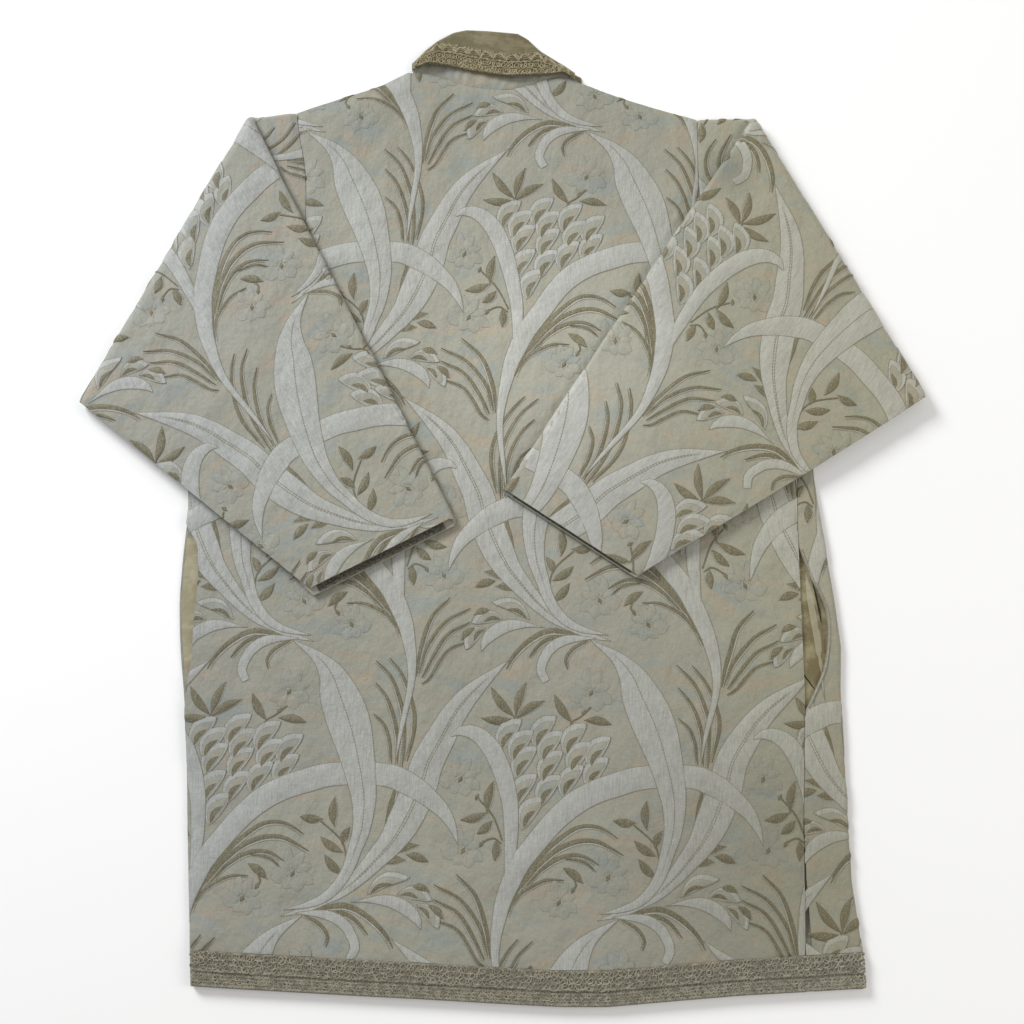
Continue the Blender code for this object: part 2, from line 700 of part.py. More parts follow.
def cuff_line(sleeve, inset=0.0):
    """The cuff's edge from the underarm seam of the back layer round the top to the front layer."""
    low = sleeve.under[-1][1]
    length = sleeve.length - inset
    back = [(length + sleeve.cuff_step, q) for q in np.linspace(low, TURN, 8)]
    front = [(length, q) for q in np.linspace(TURN - math.pi * TURN_MID, 2 * TURN - math.pi * TURN_MID - low, 8)]
    return back + front


def sleeve_panel(name):
    sleeve = DRAFTS[name]
    arm = sleeve.draft(moved_aside(curve_through(ARMHOLE[name], 18), SEAM * sleeve.hand))
    arm = arm[arm[:, 1] > TURN + 4]
    start = max(arm[0, 0], SEAM * 2)
    upper_arm = np.vstack([[(start, TURN + 2)], arm])
    lower_arm = sleeve.on_lower(upper_arm)[::-1]
    under = curve_through(sleeve.under, 30)
    under = np.vstack([under[1:-1], [(sleeve.length + sleeve.cuff_step, sleeve.under[-1][1])]])
    lower_under = sleeve.on_lower(curve_through(sleeve.under, 30))[::-1][:-1]
    outline = closed_line(upper_arm, under, cuff_line(sleeve), lower_under, lower_arm)

    def step(point):
        draft = np.array([point])
        down = np.where(draft[:, 1] > TURN, draft[:, 1], 2 * TURN - math.pi * TURN_MID - draft[:, 1])
        beyond = sleeve.beyond(sleeve.laid(np.column_stack([draft[:, 0], down])))[0]
        top = max(draft[0, 1] - TURN, TURN - math.pi * TURN_MID - draft[0, 1], 0)
        fold = max(-FOLD_CENTRE - beyond, beyond + FOLD_CENTRE - math.pi * FOLD_MID, 0)
        away = min(top, fold)
        return 2.0 + 0.6 * away if away < 35 else 24.0

    outline = split_long(outline, step)
    rows = [np.array([(a, TURN - s * TURN_MID) for a in np.linspace(2, sleeve.length - 1, 26)])
            for s in np.linspace(0, math.pi, 6)]
    for s in np.linspace(0, math.pi, 7):
        across = -FOLD_CENTRE + s * FOLD_MID
        points = sleeve.fold_top + across * sleeve.fold_out + np.linspace(-60, 400, 30)[:, None] * sleeve.fold_way
        draft = sleeve.draft(points)
        deep = draft[draft[:, 1] > TURN]
        rows.append(deep)
        rows.append(sleeve.on_lower(deep))
    to_u, to_v = sleeve.pattern

    def to_sheet(points):
        q = points[:, 0] - to_u if sleeve.hand < 0 else -points[:, 0] + to_u
        return np.column_stack([to_v - points[:, 1], q])

    def shown(points):
        down = 2 * TURN - math.pi * TURN_MID - points[:, 1]
        beyond = sleeve.beyond(sleeve.laid(np.column_stack([points[:, 0], down])))
        on_top = ease(0, 8, TURN - math.pi * TURN_MID - points[:, 1]) * ease(8, 16, beyond)
        return on_top * ease(3, 12, distance_to(points, outline))

    corners = np.array([(0.0, -330.0), (510.0, 0.0)])
    pattern = np.column_stack([corners[:, 1] + to_u if sleeve.hand < 0 else to_u - corners[:, 1],
                               to_v - corners[:, 0]])
    leaves = leaves_over(pattern.min(0), pattern.max(0), 24.0, to_sheet)
    lines = kept_runs(leaf_lines(leaves), lambda p: shown(p) > 0.4)
    return wall("sleeve_" + name, "brocade", outline, sleeve.place,
                lambda p: -quilt_height(p, leaves, shown), constant(WALL), lines, (34.0, 42.0), rows)


def cuff_braid(name):
    """Braid inside the cuff, on the back layer."""
    sleeve = DRAFTS[name]
    low = sleeve.under[-1][1] - 18
    end = sleeve.length + sleeve.cuff_step - 1.0
    start = end - CUFF_BRAID_WIDTH
    down = np.linspace(TURN + 8, low, 7)
    outline = closed_line([(start, q) for q in down], [(end, q) for q in down[::-1]])
    return wall("cuff_braid_" + name, "braid", outline, sleeve.place,
                constant(WALL + 0.3), constant(WALL + 0.3 + CUFF_BRAID_WALL))


def hem_braid():
    """Braid round the hem of the back and the right front, in one length."""
    edge = MIDDLE_X + FRONT_GAP
    top = [(x, hem_at(x) + HEM_BRAID_WIDTH) for x in np.linspace(-281, 316, 34)]
    low = [(x, hem_at(x) + 0.6) for x in np.linspace(316, -279.5, 34)]
    under_top = under_right([(x, hem_at(x) + HEM_BRAID_WIDTH) for x in np.linspace(316, edge, 18)])
    under_low = under_right([(x, hem_at(x) + 0.6) for x in np.linspace(edge, 316, 18)])
    outline = split_long(closed_line(top, under_top, under_low, low), side_step)
    return wall("hem_braid", "braid", outline, body_place, constant(-BRAID_LIFT), constant(-BRAID_GAP),
                turns=turn_rows(hem_at(320.0) + 3, hem_at(320.0) + HEM_BRAID_WIDTH - 3))


def hem_braid_left():
    """Braid under the hem of the left front."""
    edge = MIDDLE_X - FRONT_GAP
    xs = np.linspace(-279.5, edge, 16)
    outline = closed_line([(x, hem_at(x) + HEM_BRAID_WIDTH) for x in xs], [(x, hem_at(x) + 0.6) for x in xs[::-1]])
    return wall("hem_braid_left", "braid", outline, lower_place, constant(-BRAID_LIFT), constant(-BRAID_GAP))


def collar_stand():
    """The stand, level with the back, from the neck seam up to the roll."""
    seam = curve_through(BACK_NECK, 9)[1:-1] + (0, 2 * SEAM)
    top = [(x, np.interp(x, COLLAR_ROLL[:, 0], COLLAR_ROLL[:, 1]) - 7.5) for x in seam[:, 0]]
    top = [(x, max(y, low + 1.5)) for (x, y), low in zip(top, seam[:, 1])]
    outline = closed_line(seam, top[::-1])
    return wall("collar_stand", "brocade", outline, body_place, constant(0), constant(WALL), grid=(16.0, 22.0))


def collar_fall():
    """The fall: down over the stand, round the roll and a little way back under it."""
    top = STACK + FALL_GAP
    floor = WALL + AIR - FALL_GAP - FALL_WALL
    outer = (top + FALL_WALL - floor) / 2
    middle = floor + outer
    inner = outer - FALL_WALL
    sections = []
    for x in np.linspace(*COLLAR_ENDS, 24):
        roll = np.interp(x, COLLAR_ROLL[:, 0], COLLAR_ROLL[:, 1])
        edge = min(np.interp(x, COLLAR_EDGE[:, 0], COLLAR_EDGE[:, 1]), roll - outer - 1.5)
        back = max(roll - outer - FALL_RETURN, edge)
        turn = [(math.cos(t), math.sin(t)) for t in np.linspace(math.pi / 2, -math.pi / 2, 7)]
        ring = [(x, edge, middle + outer)]
        ring += [(x, roll - outer + outer * c, middle + outer * s) for c, s in turn]
        ring += [(x, back, middle - outer), (x, back, middle - inner)]
        ring += [(x, roll - outer + inner * c, middle + inner * s) for c, s in reversed(turn)]
        ring += [(x, edge, middle + inner)]
        sections.append(ring)
    return loft("collar_fall", "satin", sections)


def collar_braid():
    low_z = STACK + FALL_GAP + FALL_WALL + BRAID_GAP
    sections = []
    for x in np.linspace(COLLAR_ENDS[0] + 1, COLLAR_ENDS[1] - 1, 22):
        roll = np.interp(x, COLLAR_ROLL[:, 0], COLLAR_ROLL[:, 1])
        edge = min(np.interp(x, COLLAR_EDGE[:, 0], COLLAR_EDGE[:, 1]), roll - 5.0)
        top = max(min(edge + COLLAR_BRAID_WIDTH, roll - 3.5), edge + 1.5)
        sections.append([(x, edge + 0.5, low_z), (x, top, low_z), (x, top, low_z + BRAID),
                         (x, edge + 0.5, low_z + BRAID)])
    return loft("collar_braid", "braid", sections)


def collar_leaf(name, hand):
    """The front end of the collar, turned down on the outside of the front, so under it here."""
    return wall("collar_leaf_" + name, "satin", leaf_outline(hand), lower_place,
                constant(-BRAID_LIFT), constant(-BRAID_GAP), grid=(40.0, 60.0))


def pocket_bag(name):
    outline = np.array(POCKET_BAG[name], float)
    return wall("pocket_bag_" + name, "satin", outline, lambda p, d: np.column_stack([p, d]),
                constant(POCKET_FLOOR + POCKET_SHEET), constant(POCKET_FLOOR))


def main():
    clear_scene()
    back_panel()
    front_left()
    front_right()
    for name in DRAFTS:
        sleeve_panel(name)
        cuff_braid(name)
        pocket_bag(name)
    hem_braid()
    hem_braid_left()
    collar_stand()
    collar_fall()
    collar_braid()
    collar_leaf("left", 1)
    collar_leaf("right", -1)


main()
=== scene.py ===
"""The looks of a quilted coat that lies face down with its sleeves folded across its back.

It runs inside Blender after the CAD part is packed. The frame gives the solids and their places.
Each panel is cut flat as a fine grid, in the millimetres of the coat's own draft, and is then turned
and folded by the same rules as the CAD part. The woven leaves are raised strips laid on those panels.
"""

import math

import bmesh
import bpy
import numpy as np
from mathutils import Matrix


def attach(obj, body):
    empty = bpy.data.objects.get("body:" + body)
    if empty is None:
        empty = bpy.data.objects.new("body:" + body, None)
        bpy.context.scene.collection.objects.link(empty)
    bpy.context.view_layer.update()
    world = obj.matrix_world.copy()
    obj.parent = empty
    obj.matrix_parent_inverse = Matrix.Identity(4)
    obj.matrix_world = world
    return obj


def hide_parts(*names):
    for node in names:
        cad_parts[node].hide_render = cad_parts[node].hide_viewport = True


bl_info = {
    "name": "Quilted coat",
    "version": (1, 0, 0),
    "blender": (4, 5, 0),
    "location": "3D view, sidebar, Coat",
    "description": "Builds the cloth, quilting, braid and collar of a laid coat on its CAD frame",
    "category": "Object",
}

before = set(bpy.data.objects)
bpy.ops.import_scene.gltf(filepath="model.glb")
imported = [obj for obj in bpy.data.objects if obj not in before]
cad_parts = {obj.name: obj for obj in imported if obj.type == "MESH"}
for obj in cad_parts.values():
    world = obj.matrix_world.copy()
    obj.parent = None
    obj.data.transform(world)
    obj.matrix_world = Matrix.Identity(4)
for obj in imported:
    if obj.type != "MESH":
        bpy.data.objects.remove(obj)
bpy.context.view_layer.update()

MM = 0.001
# Cloth and air
WALL = 2.4  # brocade, wadding and backing together
AIR = 2.0  # between the two layers of the flattened body or sleeve
STACK = 2 * WALL + AIR
TURN = STACK / 2  # outer radius where cloth turns round an edge
TURN_MID = TURN - WALL / 2
FOLD_AIR = 1.2  # half the gap between a sleeve's layers that face each other
FOLD_CENTRE = STACK + FOLD_AIR
FOLD_MID = FOLD_CENTRE - STACK / 2
SEAM = 0.2  # each edge stops this far from the seam line
PINCH = AIR - 0.3  # how much of the air a sewn edge takes away
PUFF = 1.2  # how far the folded sleeve's top layer swells
CENTRE = (0.0077, 0.7142)  # added to x and y, so that the laid coat is centred on the origin

# Sides of the laid coat: height, left edge, right edge, right side seam on the upper layer
SIDES = np.array([
    (-474, -280.0, 325.5, 273.5), (-423, -282.0, 325.0, 274.0), (-361, -286.0, 318.0, 275.5),
    (-308, -289.0, 317.0, 276.5), (-244, -292.0, 316.0, 279.0), (-191, -297.0, 315.0, 281.5),
    (-150, -302.0, 316.5, 281.0), (-107, -304.5, 312.0, 280.5), (-60, -302.5, 306.0, 280.0),
    (-20, -299.0, 300.5, 280.0), (10, -300.0, 297.0, 281.0), (44, -302.2, 295.0, 286.5),
])
# Lowest line of the hem: x, height
HEM = np.array([
    (-284, -454.0), (-235, -457.0), (-180, -460.0), (-124, -463.0), (-74, -465.5), (-2, -469.5),
    (53, -472.3), (95, -472.3), (164, -466.5), (214, -462.5), (270, -459.5), (330, -456.0),
])
# Armhole from the shoulder tip down to the underarm
ARMHOLE = {
    "left": ((-205.3, 382.7), (-202, 357), (-196, 325), (-194, 285), (-196, 240), (-203, 190),
             (-213, 150), (-232, 113), (-262, 75), (-302.2, 44)),
    "right": ((193.2, 375.3), (193, 347), (193, 313), (195, 280), (195, 235), (197, 185),
              (205, 145), (222, 108), (250, 73), (287.6, 44)),
}
SHOULDER = {
    "left": ((-205.3, 382.7), (-159, 399), (-124, 411), (-95, 425)),
    "right": ((193.2, 375.3), (136, 392.5), (79, 413)),
}
BACK_NECK = ((-95, 425), (-75, 424), (-54, 417), (-31, 410), (-1, 407), (22, 410), (44, 418),
             (60, 420), (79, 413))
MIDDLE_X = -7.5  # the coat's own centre line
FRONT_NECK = ((-87.5, 0), (-75, -32), (-50, -66), (-2, -87))  # x from the centre line, y from FRONT_TOP
FRONT_TOP = 419.0
FRONT_GAP = 1.6  # each front stops this far from the centre line

# Sleeves before they are folded over. The top edge leaves the shoulder tip at an angle. The underarm
# line is given by distances along the top edge and down from it. The fold line crosses the laid coat.
SLEEVES = {
    "left": {
        "shoulder": (-205.3, 382.7), "angle": 187.16, "hand": -1, "length": 499.0,
        "under": ((138.4, 324.0), (188, 297), (236.9, 269.9), (340, 223), (499.0, 150.4)),
        "fold": ((-252.0, 376.4), (-406.7, 85.4)), "cuff_step": 7.5, "pattern": (130.4, 277.2),
        "askew": -4.0,
    },
    "right": {
        "shoulder": (193.2, 375.3), "angle": 0.75, "hand": 1, "length": 507.0,
        "under": ((90.1, 332.5), (150, 309), (209.8, 287.6), (340, 229), (507.0, 149.5)),
        "fold": ((252.9, 371.1), (406.7, 90.4)), "cuff_step": 2.5, "pattern": (-149.0, 120.7),
        "askew": 0.0,
    },
}
CUFF_BRAID_WIDTH = 30.0
CUFF_BRAID_WALL = 1.0

# Braid and collar
HEM_BRAID_WIDTH = 36.5
SHOWN_BRAID = 31.5  # how much of it the cloth above leaves free
BRAID = 1.4
BRAID_GAP = 0.3
BRAID_LIFT = BRAID + BRAID_GAP
COLLAR_ROLL = np.array([(-95, 431), (-88, 438), (-79, 448), (-66, 459), (-50, 468), (-37, 471),
                        (-16, 470), (15, 467), (25, 461), (38, 448), (61, 433), (72, 425), (77, 421)])
COLLAR_EDGE = np.array([(-95, 427), (-73, 431), (-54, 430), (-31, 425), (-13, 421.5), (7, 418.5),
                        (28, 419.5), (48, 421.5), (60, 422.5), (77, 414)])
COLLAR_ENDS = (-91.0, 72.0)
FALL_WALL = 1.6
FALL_GAP = 0.3
FALL_RETURN = 16.0
COLLAR_BRAID_WIDTH = 25.0
COLLAR_LEAF = ((-86, 422), (-58, 436), (-40, 420), (-24, 382), (-5, 330), (-54, 296), (-90, 368))

# Pockets in the side seams
POCKET_SHEET = 1.0
PIPING = 1.2
POCKET_FACING = ((286.5, -80), (289.8, -103), (292.6, -124), (295.6, -144.5), (297.3, -160), (298.0, -174))
# the slit and seam lines carry near-black painted shadow
POCKET_SLIT_SHADOW = ((291.6, -86), (294.4, -98), (297.2, -112), (299.3, -126))
POCKET_SEAM_SHADOW = ((280.5, -174), (291.4, -189.4))
POCKET_FLOOR = WALL + 0.5
POCKET_MOUTH = ((281, -58), (290, -83), (297, -97), (303, -112), (305, -129), (304, -147),
                (300, -168), (293, -185), (283, -205))
POCKET_BAG = {
    "right": ((250, -40), (284, -45), (302, -80), (307.5, -110), (309, -140), (305, -180),
              (285, -216), (245, -235), (200, -240), (180, -190), (190, -110)),
    "left": ((-299, -46), (-301, -79), (-302, -107), (-301, -129), (-299, -150), (-296, -179),
             (-290, -200), (-240, -235), (-195, -240), (-178, -190), (-190, -110), (-250, -40)),
}
LEFT_POCKET_EDGE = ((-200, -294.5), (-187, -294.0), (-158, -289.5), (-129, -289.5), (-107, -287.5),
                    (-79, -286.5), (-52, -287.5), (-40, -296.0))

# Soft ridges of the laid body: x, y, angle in degrees, length, width, height
BODY_FOLDS = (
    (-62, -150, 78, 300, 64, 2.0),
    (109, -200, 100, 360, 75, 2.2),
    (-205, -247, 86, 280, 64, 1.8),
    (218, -333, 72, 200, 54, 1.6),
    (23, -352, 12, 240, 46, 1.3),
    (-119, 275, 60, 140, 44, 1.2),
    (99, 266, 118, 150, 46, 1.4),
    (-5, 320, 2, 130, 44, 1.0),
    (222, 325, 84, 60, 12, 1.6),
)
# The same on the folded sleeves' top layer
SLEEVE_FOLDS = (
    (-249, 150, 62, 220, 60, 1.0),
    (-175, 20, 35, 130, 44, 0.9),
    (250, 170, 120, 230, 60, 1.0),
    (180, 50, 148, 150, 46, 0.9),
)

# The woven pattern: the size of a repeat, and where one starts on the back and on the front's strip
REPEAT = (277.4, 505.9)
PATTERN_START = np.array((-1.8, -427.3))
STRIP_PATTERN = np.array((293.4, -115.0))
MIRROR_SUM = -86.4  # a motif and its mirrored copy have x values that add up to this
MIRROR_RISE = 252.95

# Small measures of the draft
CLOSEST = 0.6  # nearer points of an outline count as one
FAR = 99.0
UNDERARM = 44.0
SIDE_HEIGHTS = (-420.0, 38.0)
SEWN = (2.0, 16.0)  # a sewn edge closes the air between these distances from it
OPENED = 20.0  # added to the left side seam's distance where the pocket holds it open
BRAID_SLOPE = (26.0, 3.0)  # the lowest layer comes down beside the braid over these distances
LEAF_SLOPE = (22.0, 3.0)  # and beside a collar leaf over these
CALM_SIDE = (4.0, 45.0)  # ridges grow between these distances from the sides
CALM_HEM = (0.0, 60.0)
CALM_SLEEVE = (0.0, 30.0)
CALM_NECK = (405.0, 360.0)
SWELL_REACH = (0.0, 70.0)
SLEEVE_CALM = (0.0, 40.0)
LEFT_POCKET_LOW = (-262.0, -246.0)
LEFT_POCKET_HIGH = (-16.0, -32.0)
LEFT_POCKET_GAP = (-202.0, -38.0)
MOUTH_GAP = (-207.0, -55.0)  # heights where the side seam gives way to the right pocket
BACK_HEM = (-280.0, 273.0)
STRIP_HEM = (274.2, 316.0)
ARM_STEP = 9.0  # distances between points of the armhole, shoulder and neck lines
SHOULDER_STEP = 12.0
NECK_STEP = 6.0
HIDDEN_ARM_STEP = 18.0
HIDDEN_SHOULDER_STEP = 20.0
HIDDEN_NECK_STEP = 14.0


def ramp(low, high, value):
    """0 at low and 1 at high, straight between them."""
    return np.clip((value - low) / (high - low), 0.0, 1.0)


def ease(low, high, value):
    t = ramp(low, high, value)
    return t * t * (3 - 2 * t)


def curve_through(points, step):
    """Points about step apart on a smooth curve through the given ones."""
    points = np.array(points, float)
    ends = np.vstack([2 * points[0] - points[1], points, 2 * points[-1] - points[-2]])
    made = []
    for p0, p1, p2, p3 in zip(ends[:-3], ends[1:-2], ends[2:-1], ends[3:]):
        count = max(1, round(np.linalg.norm(p2 - p1) / step))
        for t in np.arange(count) / count:
            made.append(0.5 * (2 * p1 + (p2 - p0) * t + (2 * p0 - 5 * p1 + 4 * p2 - p3) * t * t
                               + (3 * p1 - p0 - 3 * p2 + p3) * t ** 3))
    made.append(points[-1])
    return np.array(made)


def moved_aside(line, distance):
    """The same open line, moved to its left by the distance."""
    way = np.gradient(line, axis=0)
    way /= np.linalg.norm(way, axis=1)[:, None]
    return line + distance * np.stack([-way[:, 1], way[:, 0]], 1)


def closed_line(*stretches):
    """Joins stretches, end to start, into one closed outline with no doubled point."""
    line = []
    for stretch in stretches:
        for point in np.array(stretch, float):
            if not line or np.linalg.norm(point - line[-1]) > CLOSEST:
                line.append(point)
    if np.linalg.norm(line[0] - line[-1]) <= CLOSEST:
        line.pop()
    return np.array(line)


def inside(points, outline):
    """Which points lie within the closed outline."""
    x, y = points[:, :1], points[:, 1:2]
    x1, y1 = outline[:, 0], outline[:, 1]
    x2, y2 = np.roll(x1, -1), np.roll(y1, -1)
    rise = np.where(y2 == y1, 1e-9, y2 - y1)
    crossed = ((y1 > y) != (y2 > y)) & (x < (x2 - x1) * (y - y1) / rise + x1)
    return crossed.sum(1) % 2 == 1


def distance_to(points, line, closed=True):
    """How far each point is from the line through the given points."""
    a = np.array(line, float)
    b = np.roll(a, -1, axis=0)
    if not closed:
        a, b = a[:-1], a[1:]
    best = np.full(len(points), np.inf)
    for start, way in zip(a, b - a):
        rel = points - start
        t = np.clip(rel @ way / max(way @ way, 1e-9), 0, 1)
        best = np.minimum(best, np.linalg.norm(rel - t[:, None] * way, axis=1))
    return best


def side_at(height, column):
    return np.interp(height, SIDES[:, 0], SIDES[:, column])


def hem_at(x):
    return np.interp(x, HEM[:, 0], HEM[:, 1])


def leaf_outline(hand):
    """The hidden front leaf of the collar, on one side of the centre line."""
    return np.array([(MIDDLE_X + hand * x, y) for x, y in COLLAR_LEAF], float)


class Sleeve:
    """One sleeve's flat draft and the way it is folded."""

    def __init__(self, name):
        data = SLEEVES[name]
        turn = math.radians(data["angle"])
        self.name = name
        self.hand = data["hand"]
        self.start = np.array(data["shoulder"])
        self.along = np.array((math.cos(turn), math.sin(turn)))
        self.down = np.array((self.along[1], -self.along[0])) * self.hand
        self.under = np.array(data["under"], float)
        self.length = data["length"]
        self.cuff_step = data["cuff_step"]
        self.pattern = data["pattern"]
        self.askew = math.radians(data["askew"])
        self.fold_top, self.fold_low = np.array(data["fold"], float)
        way = (self.fold_low - self.fold_top) / np.linalg.norm(self.fold_low - self.fold_top)
        self.fold_way = way
        self.fold_out = np.array((-way[1], way[0])) * self.hand

    def draft(self, flat):
        """Distances along the top edge and down from it, for points of the laid coat."""
        rel = np.array(flat, float) - self.start
        return np.column_stack([rel @ self.along, rel @ self.down])

    def laid(self, draft):
        return self.start + draft[:, :1] * self.along + draft[:, 1:2] * self.down

    def beyond(self, flat):
        """How far points of the unfolded sleeve lie past the fold line."""
        return (flat - self.fold_top) @ self.fold_out

    def on_lower(self, draft):
        """The unrolled place of points of the front layer, reached round the top edge."""
        return np.column_stack([draft[:, 0], 2 * TURN - math.pi * TURN_MID - draft[:, 1]])

    def place(self, sheet, depth):
        """Takes a point of the unrolled sleeve, at its depth under the outer face, to its place."""
        radius = TURN - depth
        angle = np.clip((TURN - sheet[:, 1]) / TURN_MID, 0, math.pi)
        past = np.maximum(TURN - sheet[:, 1] - math.pi * TURN_MID, 0)
        down = np.where(sheet[:, 1] > TURN, sheet[:, 1], TURN - radius * np.sin(angle) + past)
        z = TURN + radius * np.cos(angle)
        draft = np.column_stack([sheet[:, 0], down])
        seam = 1 - ease(*SEWN, distance_to(draft, self.under, closed=False))
        z = z - PINCH * seam * ramp(WALL, WALL + AIR, z)
        flat = self.laid(draft)
        beyond = self.beyond(flat)
        turned = np.clip((beyond + FOLD_CENTRE) / FOLD_MID, 0, math.pi)
        after = np.maximum(beyond + FOLD_CENTRE - math.pi * FOLD_MID, 0)
        reach = FOLD_CENTRE - z
        kept = np.where(beyond < -FOLD_CENTRE, beyond, -FOLD_CENTRE + reach * np.sin(turned) - after)
        z = FOLD_CENTRE - reach * np.cos(turned)
        flat = flat + (kept - beyond)[:, None] * self.fold_out
        return settle(np.column_stack([flat, z]))

    def folded_corner(self, draft):
        flat = self.laid(np.array([draft], float))[0]
        return flat - 2 * self.beyond(flat) * self.fold_out

    def folded_outline(self):
        return np.array([self.fold_top, self.fold_low, self.folded_corner(self.under[-1]),
                         self.folded_corner((self.length, 0))])


DRAFTS = {name: Sleeve(name) for name in SLEEVES}
FOLDED = {name: sleeve.folded_outline() for name, sleeve in DRAFTS.items()}


def under_sleeve(flat):
    """How deep each point lies under a folded sleeve: negative outside them."""
    best = np.full(len(flat), -np.inf)
    for outline in FOLDED.values():
        away = distance_to(flat, outline)
        best = np.maximum(best, np.where(inside(flat, outline), away, -away))
    return best


def ridges(points, folds):
    total = np.zeros(len(points))
    for x, y, angle, length, width, height in folds:
        along = np.array((math.cos(math.radians(angle)), math.sin(math.radians(angle))))
        rel = points - (x, y)
        s = rel @ along / (length / 2)
        across = (rel @ np.array((-along[1], along[0]))) / (width / 2)
        total += height * np.exp(-across ** 2 - s ** 4)
    return total


def braid_lift(flat):
    """Where the lowest layer lies on braid or on a collar leaf, from 0 to 1."""
    lift = ease(*BRAID_SLOPE, flat[:, 1] - hem_at(flat[:, 0]) - HEM_BRAID_WIDTH)
    for hand in (-1, 1):
        outline = leaf_outline(hand)
        away = np.where(inside(flat, outline), 0.0, distance_to(flat, outline))
        lift = np.maximum(lift, ease(*LEAF_SLOPE, away))
    return lift


def settle(points):
    """The one rule of height: braid lifts the lowest layer, and loft lifts those above it."""
    flat, z = points[:, :2], points[:, 2]
    edge = np.minimum(flat[:, 0] - side_at(flat[:, 1], 1), side_at(flat[:, 1], 2) - flat[:, 0])
    edge = np.where(flat[:, 1] > UNDERARM, FAR, edge)
    deep = under_sleeve(flat)
    calm = ease(*CALM_SIDE, edge) * ease(*CALM_HEM, flat[:, 1] - hem_at(flat[:, 0]))
    calm = calm * ease(*CALM_SLEEVE, -deep) * ease(*CALM_NECK, flat[:, 1])
    body = ridges(flat, (*BODY_FOLDS, *SMALL_FOLDS)) * calm * ramp(WALL, WALL + AIR, z)
    swell = ease(*SLEEVE_CALM, deep) * ridges(flat, (*SLEEVE_FOLDS, *SMALL_SLEEVE_FOLDS))
    swell = swell + PUFF * ease(*SWELL_REACH, deep)
    swell = swell * ramp(2 * FOLD_CENTRE - WALL - AIR, 2 * FOLD_CENTRE - WALL, z)
    lowest = 1 - ramp(WALL, WALL + AIR, z)
    lifted = z + BRAID_LIFT * braid_lift(flat) * lowest + body + swell
    return np.column_stack([flat, np.maximum(lifted, 0.0)])


def sewn_edge(flat):
    """How much a sewn edge closes the air between the body's two layers, from 0 to 1."""
    away = np.minimum(distance_to(flat, SHOULDER["left"], closed=False),
                      distance_to(flat, SHOULDER["right"], closed=False))
    left = np.abs(flat[:, 0] - side_at(flat[:, 1], 1))
    open_pocket = ease(*LEFT_POCKET_LOW, flat[:, 1]) * ease(*LEFT_POCKET_HIGH, flat[:, 1])
    closing = 1 - ease(*SEWN, np.minimum(away, left + OPENED * open_pocket))
    return closing * (1 - braid_lift(flat))


def body_place(sheet, depth):
    """Takes a point of the unrolled body, at its depth under the outer face, to its place.

    The first coordinate is x on the upper layer. Past the right edge it runs on round the turn and
    back along the lower layer.
    """
    u, y = sheet[:, 0], sheet[:, 1]
    centre = side_at(y, 2) - TURN
    angle = np.clip((u - centre) / TURN_MID, 0, math.pi)
    past = np.maximum(u - centre - math.pi * TURN_MID, 0)
    radius = TURN - depth
    x = np.where(u < centre, u, centre + radius * np.sin(angle) - past)
    z = TURN + radius * np.cos(angle)
    flat = np.column_stack([x, y])
    z = z - PINCH * sewn_edge(flat) * ramp(WALL, WALL + AIR, z)
    return settle(np.column_stack([flat, z]))


def lower_place(sheet, depth):
    """A point of a piece that lies face down, at its depth above the surface."""
    return settle(np.column_stack([sheet, depth]))


def under_right(points):
    """The unrolled place of points of the lower layer, reached round the right edge."""
    points = np.array(points, float)
    centre = side_at(points[:, 1], 2) - TURN
    return np.column_stack([2 * centre + math.pi * TURN_MID - points[:, 0], points[:, 1]])


def seam_heights():
    return np.linspace(*SIDE_HEIGHTS, 27)


def centre_heights():
    """Heights down the centre front, close together where the cloth lifts over leaf and braid."""
    low = hem_at(MIDDLE_X)
    above = low + HEM_BRAID_WIDTH
    return np.concatenate([np.linspace(326, 246, 8), np.linspace(210, above + 50, 10),
                           [above + 24, above + 12, above + 1.5, low + 16]])


# Relief of the scene, on top of the draft's own
RIM = 0.3  # how far a woven strip's edge stands above the cloth under it
UNDER_RIM = 0.4 * RIM  # and how far where another strip covers it
SUNK = 0.5  # how far the skirt round a strip reaches down into the cloth
BLADE_RISE = 1.0
GROUND_RISE = 0.6  # the cloth between the quilted blades
GROUND_REACH = 8.0
SEAM_DIP = 1.1
SEAM_REACH = 3.0
EDGE_RELEASE = 9.0
LIFT_TILT = 0.3  # scales rise towards their tips, as tiles do
OVERLAP = 1.5  # how far a strip reaches under one that crosses over it
HIDDEN_DEPTH = 14.0  # strips further than this under a sleeve aren't made
CLEAR_OF_BRAID = 0.4
UNDER_BRAID = (2.0, 10.0)
STRIP_ROWS = ((3.2, 2), (7.5, 4), (FAR, 8))  # half width up to which a strip has so many rows of faces
ROUTE_STEPS = {"blade": 6.0, "arc": 4.0, "leaf": 3.0}
RISES = {"arc": 0.7, "stem": 0.4, "leaf": 0.8, "petal": 0.3, "bud": 0.8, "pale rim": 0.2}
RIM_BASE = -0.15  # pale rims and petals lie a little lower than the rest
STEM_HALF = 0.8
FULL_BLADE = 13.0  # half width at which a blade reaches its whole rise

DRAWN = (  # where the cloth lies out of the pattern's line: middle, reach and shift
    ((-250, -350), (170, 150), (-9.5, 4.0)), ((284, -120), (85, 75), (7.5, -12.0)),
    ((228, -178), (75, 55), (4.0, -7.0)), ((55, 130), (80, 70), (8.0, -1.5)),
)
ASKEW_ABOUT = np.array((10.0, -26.0))
LAST_STRIP = 3.5  # how far round the right edge's turn the woven strips run
MOUTH_CLEAR = (-218.0, -75.0)  # heights beside the pocket's mouth that have no strips
FINE = 1.2  # size of the cells where cloth turns
PIPING_RISE = 1.3

